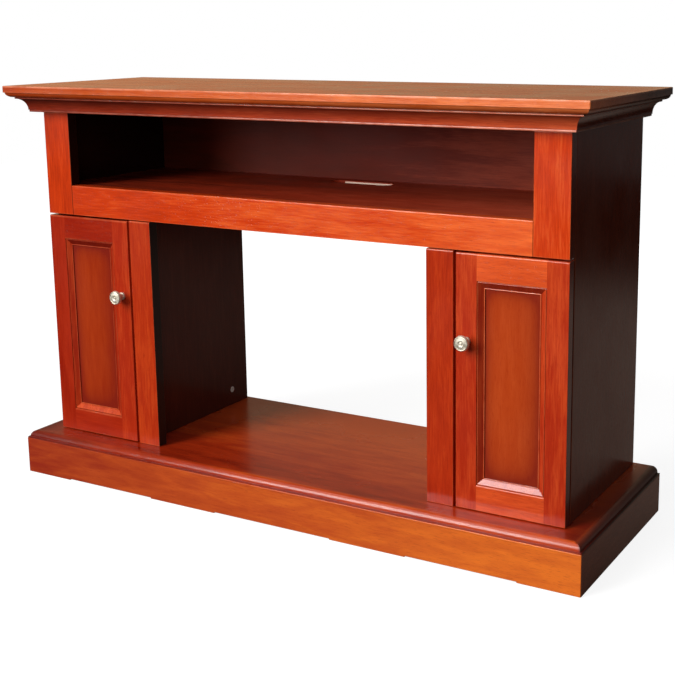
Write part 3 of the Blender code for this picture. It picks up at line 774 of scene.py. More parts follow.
def eased_board(
    low: Sequence[float],
    high: Sequence[float],
    radius: float,
    crest: float = 0.0,
    cells: tuple[int, int] = (1, 1),
) -> Surface:
    """Makes a board with eased edges as rings along X.

    A ring is a rectangle in Y and Z whose corners are quarter circles. At angle t of the easing of an end, a
    ring stands in from the end by the radius times one minus the cosine, and all its sides and its corners'
    radii are smaller by the radius times one minus the sine.

    Args:
        low: Lowest corner.
        high: Highest corner.
        radius: Radius of the easing.
        crest: Radius of the upper front edge, where it is larger.
        cells: Cells along X and up the front.

    Returns:
        The board's surface.
    """
    low, high = np.asarray(low, dtype=float), np.asarray(high, dtype=float)
    radii = np.array([radius, max(crest, radius), radius, radius])
    band = min(BAND, (high - low).min() / 2 - radii.max() * EASE_ROOM)
    inward = np.array([[1, 1], [1, -1], [-1, -1], [-1, 1]])
    centre = np.where(inward > 0, low[1:], high[1:]) + inward * radii[:, None]
    turn = np.linspace(0.0, math.pi / 2, EASE_STEPS + 1)
    angle = np.radians([[270.0], [180.0], [90.0], [0.0]]) - turn
    out = np.stack([np.cos(angle), np.sin(angle)], axis=2)
    onward = band * np.stack([np.sin(angle), -np.cos(angle)], axis=2)
    middle = np.linspace(low[0] + radius + band, high[0] - radius - band, cells[0] + 1)
    from_end = radius * (1 - np.cos(turn))
    along = np.concatenate([low[0] + from_end, middle, (high[0] - from_end)[::-1]])
    shrink = radius * (1 - np.sin(turn))
    inset = np.concatenate([shrink, np.zeros(len(middle)), shrink[::-1]])
    arcs = centre[:, None] + (radii - inset[:, None])[:, :, None, None] * out
    before, after = arcs[:, :, :1] - onward[:, :1], arcs[:, :, -1:] + onward[:, -1:]
    arcs = np.concatenate([before, arcs, after], axis=2)
    climb = np.linspace(0.0, 1.0, cells[1] + 1)[1:-1, None]
    front = arcs[:, 0, -1:] * (1 - climb) + arcs[:, 1, :1] * climb
    ring = np.concatenate([arcs[:, 0], front, arcs[:, 1], arcs[:, 2], arcs[:, 3]], axis=1)
    worn = np.pad(np.ones(EASE_STEPS + 1), 1)
    around = np.concatenate([worn, np.zeros(len(climb)), worn, worn, worn])
    ends = np.concatenate([np.sin(2 * turn), np.zeros(len(middle)), np.sin(2 * turn)])
    wear = np.maximum(around * (inset < radius)[:, None], ends[:, None])
    across = np.broadcast_to(along[:, None, None], (*ring.shape[:2], 1))
    return capped(np.concatenate([across, ring], axis=2), wear)


def moulded_board(node: str, profile: np.ndarray, corner: float, wear: np.ndarray) -> Surface:
    """Carries a profile round the front and ends of a board, with a plain back.

    A profile point with inset i gives a ring at the plan's outline less i. The front corners of the ring are
    arcs of radius corner less i, and are square where that is nothing. Points along the front, closer at its
    ends, let the toning and the tone differ from one part of it to another, for painted light and shade.

    Args:
        node: The CAD node that gives the board's place.
        profile: Points of inset and level, from the top down or from below up.
        corner: Radius of the front corners in plan.
        wear: Rub-through and painted highlight of each profile point.

    Returns:
        The board's surface.
    """
    low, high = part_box(node)
    inset, level = profile[:, :1], profile[:, 1:]
    bend = np.maximum(corner - inset, 0.0)
    sweep = np.linspace(0.0, math.pi / 2, 5)[None, :]
    side, edge = high.x - inset, low.y + inset
    left_x = -side + bend - bend * np.cos(sweep)
    front_y = edge + bend - bend * np.sin(sweep)
    run = left_x[:, -1:] * (1 - 2 * FRONT_SHARES)
    x = np.concatenate([left_x, run, -left_x[:, ::-1], side, -side], axis=1)
    rear = np.full_like(inset, high.y)
    y = np.concatenate([front_y, np.broadcast_to(edge, run.shape), front_y[:, ::-1], rear, rear], axis=1)
    return capped(np.stack([x, y, np.broadcast_to(level, x.shape)], axis=2), wear[:, None])


def turned_surface(profile: np.ndarray, centre: Point) -> Surface:
    """Turns a profile of radius and distance round an axis that points to the front.

    A point lies at its distance along the axis, and at its radius times cosine and sine across it.

    Args:
        profile: Points of radius and distance, both ends on the axis.
        centre: Where the axis starts.

    Returns:
        The turned surface.
    """
    turn = np.array(Vector(FRONTWARD).to_track_quat("Z", "Y").to_matrix())
    angle = np.linspace(0.0, 2 * math.pi, TURN_STEPS, endpoint=False)
    radius, distance = profile[:, :1], profile[:, 1:]
    distance = np.broadcast_to(distance, (len(profile), TURN_STEPS))
    local = np.stack([radius * np.cos(angle), radius * np.sin(angle), distance], axis=2)
    points = local.reshape(-1, 3) @ turn.T + np.asarray(centre)
    return Surface(points, ring_faces(len(profile), TURN_STEPS), np.zeros(len(points)))


# Pieces


def settle(mesh: bpy.types.Mesh) -> None:
    """Merges a mesh's double points, turns its faces outwards, and smooths all but its creases.

    Args:
        mesh: The mesh.
    """
    work = bmesh.new()
    work.from_mesh(mesh)
    bmesh.ops.remove_doubles(work, verts=work.verts, dist=WELD)
    bmesh.ops.dissolve_degenerate(work, edges=work.edges, dist=WELD)
    bmesh.ops.recalc_face_normals(work, faces=work.faces)
    work.to_mesh(mesh)
    work.free()
    mesh.shade_smooth()
    mesh.set_sharp_from_angle(angle=CREASE)


def make_mesh(name: str, surface: Surface, values: dict[str, Any]) -> bpy.types.Object:
    """Puts a surface into a mesh object at the origin, with its attributes.

    Args:
        name: The object's name.
        surface: The surface.
        values: A number, or one for each point, for each attribute's name.

    Returns:
        The object.
    """
    mesh = bpy.data.meshes.new(name)
    mesh.from_pydata(surface.points.tolist(), [], surface.faces)
    for key, value in ({"wear": surface.wear} | values).items():
        data = np.broadcast_to(np.asarray(value, dtype=np.float32), len(surface.points))
        mesh.attributes.new(key, "FLOAT", "POINT").data.foreach_set("value", np.ascontiguousarray(data))
    settle(mesh)
    made = bpy.data.objects.new(name, mesh)
    bpy.context.scene.collection.objects.link(made)
    return made


def bore(made: bpy.types.Object, cutters: Sequence[Surface]) -> None:
    """Cuts round holes into a piece.

    Args:
        made: The piece.
        cutters: Closed surfaces of the holes.
    """
    helpers = [make_mesh(f"{made.name}_cutter_{n}", cutter, {}) for n, cutter in enumerate(cutters)]
    for helper in helpers:
        change = made.modifiers.new(helper.name, "BOOLEAN")
        change.operation = "DIFFERENCE"
        change.solver = "EXACT"
        change.object = helper
    bpy.context.view_layer.update()
    cut = bpy.data.meshes.new_from_object(made.evaluated_get(bpy.context.evaluated_depsgraph_get()))
    old = made.data
    made.modifiers.clear()
    made.data = cut
    for spent in (old, *(helper.data for helper in helpers)):
        bpy.data.meshes.remove(spent)
    cut.name = made.name
    settle(cut)


def add_piece(
    node: str,
    ending: str,
    surface: Surface,
    values: dict[str, Any],
    finish: Finish,
    body: str = CABINET,
    shape: Callable[[bpy.types.Object], None] | None = None,
) -> None:
    """Builds the piece that stands for a CAD node, dresses it, lets it ride on a body, and reports it.

    Args:
        node: The CAD node.
        ending: End of the piece's name, after the node's.
        surface: The piece's surface.
        values: A number, or one for each point, for each attribute's name.
        finish: The piece's finish.
        body: The body that carries it.
        shape: Cuts or eases the piece before it is dressed.
    """
    made = make_mesh(f"{node}_{ending}", surface, values)
    if shape is not None:
        shape(made)
    made.data.materials.append(finish.material())
    even = made.modifiers.new("even_light", "WEIGHTED_NORMAL")
    even.keep_sharp = True
    even.weight = 80
    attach(made, body)
    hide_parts(node)
    LOG.info("%s on %s for %s", made.name, body, node)


def dress_node(node: str, finish: Finish) -> None:
    """Gives a CAD node that stays a procedural finish.

    Args:
        node: The node's name.
        finish: Its finish.
    """
    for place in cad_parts[node].material_slots:
        place.material = finish.material()
    LOG.info("%s keeps its solid", node)


@dataclass
class BoardSet:
    """Plain eased boards that take their places from the CAD nodes.

    Crest is the radius of the upper front edge, grow lengthens a board at both ends, and painted_shade_return
    gives the end that faces the stand's middle painted shade in the deep colour, as that return is out of the
    light.
    """

    radius: float = 0.0012
    crest: float = 0.0
    grow: float = 0.0
    painted_shade_return: bool = False

    def board(
        self,
        node: str,
        finish: Finish,
        body: str = CABINET,
        tone: float = 0.0,
        slope: float = 0.0,
        bores: Sequence[Surface] = (),
    ) -> None:
        """Builds the board that stands for one node, with painted shade where it ends at the stand's outer
        side.

        Args:
            node: The CAD node.
            finish: The board's finish.
            body: The body that carries it.
            tone: How far the stain leans to its light colour.
            slope: Change of the tone for each metre along X, painted light that is lighter where the light
                falls more.
            bores: Closed surfaces of holes in the board.
        """
        low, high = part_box(node)
        length = Vector((self.grow, 0.0, 0.0))
        surface = eased_board(low - length, high + length, self.radius, self.crest)
        across = surface.points[:, 0]
        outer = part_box("side_panel_right")[1].x
        # Painted shade on the outer end, and in the deep colour on the inner return, both out of the light
        toning = 1.0 * (np.abs(across) > outer - self.radius / 2)
        if self.painted_shade_return:
            nearest = min(abs(low.x), abs(high.x))
            toning[np.abs(across) < nearest + self.radius / 2] = 2.0
        values = {"board": self.number(node), "tone": tone + slope * across, "toning": toning}
        shape = partial(bore, cutters=bores) if bores else None
        add_piece(node, "board", surface, values, finish, body, shape)

    @staticmethod
    def number(node: str) -> float:
        """Gives each board a number of its own, from its place in the frame's list of nodes."""
        return BOARD_STEP * (sorted(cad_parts).index(node) + 1)


@dataclass
class TopSlab:
    """The slab with its flat edge, a small step under it, and an ovolo."""

    ovolo_height: float = 0.009
    ovolo_inset: float = 0.0146
    step: float = 0.0030
    rim: float = 0.012
    band: float = 0.004
    edge_foot: float = 0.0010
    margin: float = 0.001
    easing: float = 0.0016
    nose: float = 0.0006
    corner: float = 0.002
    # Painted light: the front edge lighter to the right, where the light falls more, and the top lighter to
    # the left, where it reflects more
    edge_slope: float = 0.50
    top_tone: float = 0.11
    top_slope: float = -0.28
    # Painted shade on the ends and in the ovolo, which face away from the light; in the ovolo it grows to the
    # right
    end_toning: float = 1.5
    ovolo_toning: float = 0.6
    ovolo_slope: float = 0.6
    number: float = 0.4

    def build(self) -> None:
        """Carries the slab's profile round its front and ends, with painted shade in the ovolo and at the
        ends.
        """
        low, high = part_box("top_slab")
        top, under = high.z, low.z
        turn = under + self.ovolo_height
        flat = np.array([[self.rim, top], [self.band, top]])
        ease = quarter((self.easing, top), (0.0, top - self.easing), True, 5)
        edge = np.array([[0.0, top - self.band], [0.0, turn + self.edge_foot]])
        nose = quarter((0.0, turn + self.nose), (self.nose, turn), False, 3)
        ovolo = quarter((self.step, turn), (self.ovolo_inset, under), False)
        profile = np.concatenate([flat, ease, edge, nose, ovolo])
        # Rub-through and painted highlight on the top's eased arris
        wear = levels((flat, 0.0, 0.1), (ease, 0.9), (edge, 0.0, 0.2), (nose, 0.5), (ovolo, 0.0))
        surface = moulded_board("top_slab", profile, self.corner, wear)
        across, depth, level = surface.points.T
        reach = self.ovolo_inset + self.margin
        sides = (np.abs(across) > high.x - reach) & (level < top - self.easing / 2) & (depth >= low.y + reach)
        shade = levels((profile[: -len(ovolo)], 0.0), (ovolo, 0.35, 1.0))
        shade = surface.spread(shade) * (self.ovolo_toning + self.ovolo_slope * across)
        toning = np.maximum(self.end_toning * sides, shade)
        tone = np.where(level < top - WELD, self.edge_slope * across, self.top_tone + self.top_slope * across)
        values = {"board": self.number, "tone": tone, "toning": toning}
        add_piece("top_slab", "moulded", surface, values, TOP_WOOD)


@dataclass
class Crown:
    """The cove moulding under the slab: a mitred front length and two side lengths."""

    foot: float = 0.015
    fillet_low: float = 0.004
    fillet_high: float = 0.003
    quirk: float = 0.0012
    top_projection: float = 0.0336
    nose: float = 0.0012
    # Painted light: the front's tone grows to the right, where the light falls more; left_wear thins the
    # beads' painted highlights at the left end, where they catch no light
    tone: float = -0.03
    slope: float = 0.62
    left_wear: float = 0.15
    front_number: float = 2.3
    side_number: float = 3.1

    def bead(self, low: float, high: float, out: float) -> np.ndarray:
        """Gives a fillet with a rounded nose, as two quarter ellipses.

        Args:
            low: Level of its lower edge.
            high: Level of its upper edge.
            out: Projection of its nose.

        Returns:
            Points of projection and level, from below up.
        """
        middle = (low + high) / 2
        lower = quarter((out - self.nose, low), (out, middle), True, 6)
        return np.concatenate([lower, quarter((out, middle), (out - self.nose, high), False, 6)[1:]])

    def section(self, low: float, high: float) -> tuple[np.ndarray, np.ndarray, np.ndarray]:
        """Gives the section: a low bead, a cove and a high bead.

        Args:
            low: Level of the foot.
            high: Level of the top.

        Returns:
            Points of projection and level, and for each point its rub-through and painted highlight, strong on
            the beads, and its painted shade, which grows up the cove towards the slab.
        """
        cove_low = (self.foot + self.quirk, low + self.fillet_low)
        cove_high = (self.top_projection - self.quirk, high - self.fillet_high)
        under = self.bead(low, cove_low[1], self.foot)
        over = self.bead(cove_high[1], high, self.top_projection)
        cove = quarter(cove_low, cove_high, False)
        first, last = np.array([[FIT, low]]), np.array([[FIT, high]])
        # Painted highlights on the beads, and painted shade that grows up the cove under the slab
        wear = levels((first, 0.0), (under, 0.8), (cove, 0.0), (over, 0.8), (last, 0.0))
        toning = levels((first, 0.0), (under, 0.0), (cove, 0.1, 1.0), (over, 0.0), (last, 0.0))
        return np.concatenate([first, under, cove, over, last]), wear, toning

    def build(self) -> None:
        """Runs the section along the front and both sides, mitred at the front corners."""
        low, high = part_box("crown_front")
        section, wear, toning = self.section(low.z, high.z)
        out, level = section.T
        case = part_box("side_panel_right")[1]
        header_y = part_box("header_rail")[0].y
        reach = case.x + out - FIT
        ends = [np.stack([sign * reach, header_y - out, level], axis=1) for sign in (-1, 1)]
        surface = capped(np.stack(ends), wear * np.array([[self.left_wear], [1.0]]))
        tone = self.slope * surface.points[:, 0] + self.tone
        values = {"board": self.front_number, "tone": tone, "toning": np.tile(toning, 2)}
        add_piece("crown_front", "moulded", surface, values, SHADED_CROWN_WOOD)
        for side in Side:
            x = side.value * (case.x + out)
            ends = [np.stack([x, y, level], axis=1) for y in (header_y - out, np.full_like(x, case.y))]
            values = {"board": self.side_number + side.value, "tone": 0.0}
            surface = capped(np.stack(ends), wear)
            add_piece(f"crown_{side.word}", "moulded", surface, values, SHADED_CASE_WOOD.along(Grain.ALONG_Y))


@dataclass
class FaceFrame:
    """The rail under the media bay and the four stiles.

    A tone is added to a right stile and taken from a left one. For the upper stiles, as for the rail's
    rail_slope, this is painted light: lighter to the right, where the light falls more.
    """

    rail_tone: float = 0.10
    rail_slope: float = 0.40
    upper_tone: float = -0.05
    upper_lean: float = 0.08
    inner_tone: float = -0.01
    inner_lean: float = -0.06
    rails: BoardSet = field(default_factory=lambda: BoardSet(0.0007, 0.0018))
    stiles: BoardSet = field(default_factory=lambda: BoardSet(0.0009, 0.0024, painted_shade_return=True))

    def build(self) -> None:
        """Builds the boards of the face frame; the header stays behind the crown."""
        upright = FRAME_WOOD.along(Grain.ALONG_Z)
        inner = INNER_WOOD.along(Grain.ALONG_Z)
        self.rails.board("shelf_rail", FRAME_WOOD, tone=self.rail_tone, slope=self.rail_slope)
        for side in Side:
            upper_tone = self.upper_tone + self.upper_lean * side.value
            inner_tone = self.inner_tone + self.inner_lean * side.value
            self.stiles.board(f"upper_stile_{side.word}", upright, tone=upper_tone)
            self.stiles.board(f"inner_stile_{side.word}", inner, tone=inner_tone)
        dress_node("header_rail", FRAME_WOOD)


@dataclass
class Case:
    """Side panels, partitions, backs and shelves; the cable slot shows bare wood where it is cut."""

    boards: BoardSet = field(default_factory=lambda: BoardSet(painted_shade_return=True))
    # The box starts right of the slot's left end, which keeps the shelf's painted shade
    slot_box: tuple[Point, Point] = ((-0.0480, 0.1215, 0.570), (0.0735, 0.1615, 0.5877))

    def build(self) -> None:
        """Builds the side panels and dresses the boards behind the face frame."""
        upright = SHADED_CASE_WOOD.along(Grain.ALONG_Z)
        inside_upright = INSIDE_WOOD.along(Grain.ALONG_Z)
        for side in Side:
            # Side panels get painted shade on their outer faces, and in the deep colour on their inner faces
            self.boards.board(f"side_panel_{side.word}", upright)
            dress_node(f"partition_{side.word}", SHADED_PARTITION_WOOD.along(Grain.ALONG_Z))
            dress_node(f"cupboard_back_{side.word}", inside_upright)
            dress_node(f"cupboard_shelf_{side.word}", INSIDE_WOOD)
        dress_node("media_back_panel", BACK_WOOD)
        dress_node("media_shelf", replace(SHELF_WOOD, cut_box=self.slot_box))


@dataclass
class Plinth:
    """The moulded base board on its mitred skirt."""

    ledge_inset: float = 0.0045
    ledge_rise: float = 0.0016
    quirk: float = 0.0002
    arris: float = 0.0005
    rounding: float = 0.0108
    rim: float = 0.004
    band: float = 0.010
    margin: float = 0.001
    corner: float = 0.003
    mitre_blur: float = 0.006
    end_strip: float = 0.058
    # Painted shade on the ends, falling from the end and going towards the deep colour above 1;
    # left_light_fade lowers the round-over's tone to the left, painted light
    end_toning: Four = (1.9, 1.5, 0.8, 0.0)
    left_light_fade: float = -0.6
    fade_share: float = 0.15
    foot_relief: float = 0.002
    corner_foot: float = 0.1115
    middle_foot: tuple[float, float] = (0.127, 0.280)
    thickness: float = 0.018
    easing: float = 0.0010
    # Painted light: the skirt's front lighter to the right, where the light falls more
    front_tone: float = 0.06
    front_slope: float = 0.75
    board_number: float = 5.2
    front_number: float = 6.4
    side_number: float = 7.7

    def build(self) -> None:
        """Builds the base board and the four lengths of the skirt."""
        self.build_board()
        self.build_front()
        self.build_sides()
        BoardSet().board("skirt_rear", SHADED_CASE_WOOD)

    def build_board(self) -> None:
        """Carries the base's ledge and round-over round its front and ends, with painted shade at the ends.

        The ends' painted shade falls with the distance from the end. On the front's round-over it stops at the
        mitre, and the round-over's own tone, lifted against the front's painted shade, fades to the left,
        painted light that is weaker where the light falls less.
        """
        low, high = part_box("base_board")
        step = low.z + self.ledge_rise
        arris = quarter((0.0, step - self.arris), (self.arris, step), False, 3)
        ledge = np.concatenate([[[0.0, low.z]], arris, [[self.ledge_inset - self.quirk, step]]])
        shoulder = self.ledge_inset + self.rounding
        rounding = quarter((self.ledge_inset, high.z - self.rounding), (shoulder, high.z), False)
        start = shoulder + self.rim
        near = np.array([[start, high.z], [start + self.band, high.z]])
        far = np.array([[self.end_strip, high.z]])
        profile = np.concatenate([ledge, rounding, near, far])
        wear = levels((ledge, 0.0), (rounding, 0.0, 0.5), (near, 0.1, 0.0), (far, 0.0))
        surface = moulded_board("base_board", profile, self.corner, wear)
        # Painted shade in the ledge under the round-over, and a tone lifted on the round-over against the
        # front's painted shade
        sunk = levels((ledge, 0.4), (rounding[:1], 0.2), (rounding[1:], 0.0), (near, 0.0), (far, 0.0))
        tone = levels((ledge, 0.2), (rounding, 0.3, 0.45), (near, 0.1, 0.0), (far, 0.0))
        across, depth = surface.points[:, 0], surface.points[:, 1] - low.y
        from_end = high.x - np.abs(across)
        past_mitre = np.clip((depth - from_end) / self.mitre_blur + 0.5, 0, 1)
        behind = np.where(depth < shoulder + self.margin, past_mitre, 1.0)
        strip = [0.0, shoulder, start, self.end_strip]
        ends = behind * np.interp(from_end, strip, self.end_toning)
        light_fade = np.interp(across, [low.x, self.fade_share * low.x], [self.left_light_fade, 1.0])
        values = {"board": self.board_number, "tone": surface.spread(tone) * light_fade}
        values["toning"] = np.maximum(surface.spread(sunk), ends)
        add_piece("base_board", "moulded", surface, values, BASE_WOOD)

    def build_front(self) -> None:
        """Extrudes the front's outline, relieved between its feet, and narrows it at the mitres."""
        low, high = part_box("skirt_front")
        relief = self.foot_relief
        near, far = self.middle_foot
        corner = high.x - self.corner_foot
        half = np.array([[near, relief], [near, 0], [far, 0], [far, relief], [corner, relief], [corner, 0]])
        outline = np.concatenate([half[::-1] * (-1, 1), half])
        rings = []
        for depth in (0.0, self.thickness):
            end = high.x - depth
            ends = np.array([[end, 0.0], [end, high.z], [-end, high.z], [-end, 0.0]])
            plan = np.concatenate([outline, ends])
            rings.append(np.stack([plan[:, 0], np.full(len(plan), low.y + depth), plan[:, 1]], axis=1))
        surface = capped(np.stack(rings))
        tone = self.front_tone + self.front_slope * surface.points[:, 0]
        values = {"board": self.front_number, "tone": tone}
        add_piece("skirt_front", "mitred", surface, values, SKIRT_WOOD, shape=self.ease)

    def build_sides(self) -> None:
        """Extrudes the plan of each side length, mitred at the front."""
        finish = SKIRT_SIDE_SHEEN_WOOD.along(Grain.ALONG_Y)
        for side in Side:
            node = f"skirt_{side.word}"
            low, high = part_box(node)
            outer = side.value * max(abs(low.x), abs(high.x))
            inner = outer - side.value * self.thickness
            front = low.y + self.thickness
            plan = np.array([[outer, low.y], [outer, high.y], [inner, high.y], [inner, front]])
            rings = [np.column_stack([plan, np.full(4, level)]) for level in (low.z, high.z)]
            values = {"board": self.side_number + side.value, "tone": 0.0}
            add_piece(node, "mitred", capped(np.stack(rings)), values, finish, shape=self.ease)

    def ease(self, made: bpy.types.Object) -> None:
        """Rounds the arrises of a length of skirt.

        Args:
            made: The length.
        """
        bevel = made.modifiers.new("eased_arrises", "BEVEL")
        bevel.width = self.easing
        bevel.segments = 2
        bevel.limit_method = "ANGLE"
        bevel.angle_limit = math.radians(40)


@dataclass
class Knob:
    """A turned knob: foot, neck, flared head, rounded rim, and a face with a ring and a button."""

    foot: float = 0.00725
    foot_side: float = 0.0022
    foot_height: float = 0.0032
    shoulder: float = 0.001
    neck: float = 0.00525
    neck_height: float = 0.0083
    head_depth: float = 0.0064
    rim: float = 0.0022
    rim_depth: float = 0.0054
    flare: float = 0.0004
    sunk: float = 0.0010
    lip: float = 0.0002
    face: tuple[float, float] = (0.0004, 0.0011)
    ring: tuple[float, float] = (0.0028, 0.0020)
    groove: tuple[float, float] = (0.0004, 0.0)
    button: float = 0.003
    button_edge: tuple[float, float] = (0.0006, 0.0003)

    def build(self, node: str, body: str) -> None:
        """Turns the knob's profile, which goes from the foot to the middle of the face.

        Args:
            node: The CAD node.
            body: The body that carries the knob.
        """
        low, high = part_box(node)
        reach = high.y - low.y
        head = (high.x - low.x) / 2
        rim, floor, proud = head - self.rim, reach - self.sunk, reach - self.lip
        top = (self.foot - self.shoulder, self.foot_height)
        waist = (self.neck, self.neck_height)
        button, (inset, drop) = self.button, self.button_edge
        parts = [
            [[0.0, 0.0], [self.foot, 0.0]],
            quarter((self.foot, self.foot_side), top, False, 4),
            quarter(top, waist, True, 8),
            quarter(waist, (head - self.flare, reach - self.head_depth), False, 10)[1:],
            quarter((head, reach - self.rim_depth), (rim, reach), False, 8),
            quarter((rim - self.face[0], proud), (rim - self.face[1], floor), False, 3),
            [[button + edge, proud] for edge in self.ring],
            [[button + edge, floor] for edge in self.groove],
            quarter((button - inset, reach - drop), (0.0, reach), False, 4),
        ]
        centre = ((low.x + high.x) / 2, high.y, (low.z + high.z) / 2)
        add_piece(node, "turned", turned_surface(np.concatenate(parts), centre), {}, NICKEL, body)


@dataclass(frozen=True)
class DoorShades:
    """Painted light and shade of one door: the tone of each of its pieces, and the looks of its moulding's
    lengths: foot, right, head and left.

    Light_tones are painted light, lighter on the right door, where the light falls more. Bevel and quirk give
    the painted shade of those parts of a length, more where they face away from the light, and the quirk's
    value also paints a highlight on the crest beside it. Light_lift is the length's tone above the moulding's,
    painted light; bead_wear scales the painted highlight on the bead.
    """

    light_tones: dict[str, float]
    bevel: Four
    quirk: Four
    lift: Four = (0.0, 0.0, 0.0, 0.0)
    bead_wear: float = 1.0


DOOR_BOARDS = ("hinge_stile", "knob_stile", "top_rail", "bottom_rail")
DOOR_PIECES = (*DOOR_BOARDS, "moulding", "panel")
DOOR_SHADES = {
    Side.LEFT: DoorShades(
        dict(zip(DOOR_PIECES, (-0.17, 0.04, -0.24, -0.14, -0.17, -0.24))),
        bevel=(0.0, 0.1, 0.7, 0.2),
        quirk=(0.2, 0.8, 0.3, 0.5),
        lift=(0.4, 0.1, 0.0, 0.25),
        bead_wear=0.45,
    ),
    Side.RIGHT: DoorShades(
        dict(zip(DOOR_PIECES, (0.10, 0.10, 0.40, 0.28, 0.10, 0.10))),
        bevel=(0.0, 0.1, 0.7, 0.6),
        quirk=(0.2, 1.0, 0.3, 1.0),
    ),
}


@dataclass
class Door:
    """One cupboard door: stiles and rails round a recessed panel with a planted moulding, and its knob."""

    side: Side
    moulding_width: float = 0.013
    sink: float = 0.0008
    recess: float = 0.0065
    quirk: float = 0.0007
    quirk_depth: float = 0.0022
    nose: float = 0.0006
    mitre: float = 0.00004
    bevel_lead: tuple[float, float] = (0.0004, 0.0001)
    bevel_drop: float = 0.0045
    bead_gap: float = 0.0002
    bead: float = 0.0011
    bead_rise: float = 0.0006
    panel_easing: float = 0.0008
    panel_cells: tuple[int, int] = (40, 80)
    # Reach of the panel's glaze and painted shade of the recess from its left, right, foot and head edges
    rim_reach: Four = (0.008, 0.018, 0.020, 0.012)
    cup_radius: float = 0.0133
    cup_depth: float = 0.0125
    cup_mouth: float = -0.004
    stiles: BoardSet = field(default_factory=lambda: BoardSet(0.0006, 0.0024))
    rails: BoardSet = field(default_factory=lambda: BoardSet(0.0006, 0.0024, 0.001))

    @property
    def body(self) -> str:
        """The body that the door's pieces ride on."""
        return f"door_{self.side.word}"

    @property
    def shades(self) -> DoorShades:
        """The painted light and shade of the door's pieces."""
        return DOOR_SHADES[self.side]

    def build(self) -> None:
        """Builds the door's frame, moulding, panel and knob, and dresses its fittings."""
        for piece in DOOR_BOARDS:
            boards, finish = self.rails, DOOR_WOOD
            if piece.endswith("stile"):
                boards, finish = self.stiles, DOOR_WOOD.along(Grain.ALONG_Z)
            bores = self.cup_bores() if piece == "hinge_stile" else ()
            boards.board(f"{self.body}_{piece}", finish, self.body, self.shades.light_tones[piece], bores=bores)
        self.build_moulding()
        self.build_panel()
        Knob().build(f"knob_{self.side.word}", self.body)
        dress_node(f"knob_screw_{self.side.word}", ZINC)
        for spot in ("lower", "upper"):
            dress_node(f"hinge_cup_{self.side.word}_{spot}", ZINC)

    def cup_bores(self) -> list[Surface]:
        """Gives the two round holes for the hinge cups, from the back of the stile.

        Returns:
            A closed surface for each hole.
        """
        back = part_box(f"{self.body}_hinge_stile")[1].y
        radius, deep, proud = self.cup_radius, self.cup_depth, self.cup_mouth
        profile = np.array([[0, deep], [radius, deep], [radius, proud], [0, proud]])
        bores = []
        for spot in ("lower", "upper"):
            low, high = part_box(f"hinge_cup_{self.side.word}_{spot}")
            bores.append(turned_surface(profile, ((low.x + high.x) / 2, back, (low.z + high.z) / 2)))
        return bores

    def build_moulding(self) -> None:
        """Lays the moulding's four mitred lengths round the opening: quirk, nose, flat bevel and bead.

        The bead is a half circle: its inset runs with the cosine of the turn and its depth with the sine.
        """
        node = f"{self.body}_moulding"
        low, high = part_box(node)
        foot = (self.moulding_width - FIT, self.recess - FIT)
        turn = np.linspace(math.pi, 0, 9)
        circle = self.bead * np.stack([np.cos(turn), -np.sin(turn)], axis=1)
        bead = circle + (foot[0] - self.bead, foot[1] - self.bead_rise)
        floor = self.sink + self.quirk_depth
        slot = np.array([[0.0, foot[1]], [0.0, floor], [self.quirk, floor]])
        crest = quarter((self.quirk, self.sink + self.nose), (self.quirk + self.nose, self.sink), False, 4)
        drop = (bead[0, 0] - self.bead_gap, self.sink + self.bevel_drop)
        bevel = np.linspace(crest[-1] + self.bevel_lead, drop, 5)
        inset, depth = np.concatenate([slot, crest, bevel, bead, [foot]]).T
        level = low.y - self.sink + depth
        crown = np.sin(turn)
        left, right, foot_z, head_z = low.x + inset, high.x - inset, low.z + inset, high.z - inset
        corners = np.array([[left, foot_z], [right, foot_z], [right, head_z], [left, head_z]])
        lengths, toning, tone = [], [], []
        for number, (shade, quirk_shade, lift) in enumerate(
            zip(self.shades.bevel, self.shades.quirk, self.shades.lift)
        ):
            ends = corners[[number, (number + 1) % 4]]
            pull = np.sign(np.round(ends[1] - ends[0], 6)) * self.mitre
            ends = ends + np.stack([pull, -pull])
            rings = np.stack([ends[:, 0], np.broadcast_to(level, ends[:, 0].shape), ends[:, 1]], axis=2)
            # Painted highlight on the crest beside the quirk, by the quirk's value, and on the bead by
            # bead_wear
            edges = levels((slot, 0.0), (crest, quirk_shade), (bevel, 0.0))
            lengths.append(capped(rings, np.concatenate([edges, self.shades.bead_wear * crown, [0.0]])))
            # Painted shade in the quirk, on the bevel where it faces away from the light, and round the bead's
            # foot
            toned = levels((slot, quirk_shade), (crest, 0.0), (bevel, shade))
            toning.append(np.tile(np.concatenate([toned, 1 - crown, [1.0]]), 2))
            # Light_lift paints light on a length's tone
            tone.append(np.full(2 * len(inset), self.shades.light_tones["moulding"] + lift))
        values = {"board": BoardSet.number(node), "tone": np.concatenate(tone)}
        values["toning"] = np.concatenate(toning)
        add_piece(node, "lengths", Surface.joined(lengths), values, MOULDING_WOOD, self.body)

    def build_panel(self) -> None:
        """Builds the panel, with glaze and painted shade of the recess that die away from each edge as the
        exponential of the distance.
        """
        node = f"{self.body}_panel"
        low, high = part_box(node)
        surface = eased_board(low, high, self.panel_easing, cells=self.panel_cells)
        x, _, z = surface.points.T
        gaps = np.stack([x - low.x, high.x - x, z - low.z, high.z - z]) - self.moulding_width
        near = np.exp(-np.maximum(gaps, 0) / np.array(self.rim_reach)[:, None]).sum(axis=0)
        values = {"board": BoardSet.number(node), "tone": self.shades.light_tones["panel"]}
        values["toning"] = np.clip(near, 0, 1)
        add_piece(node, "board", surface, values, PANEL_WOOD, self.body)


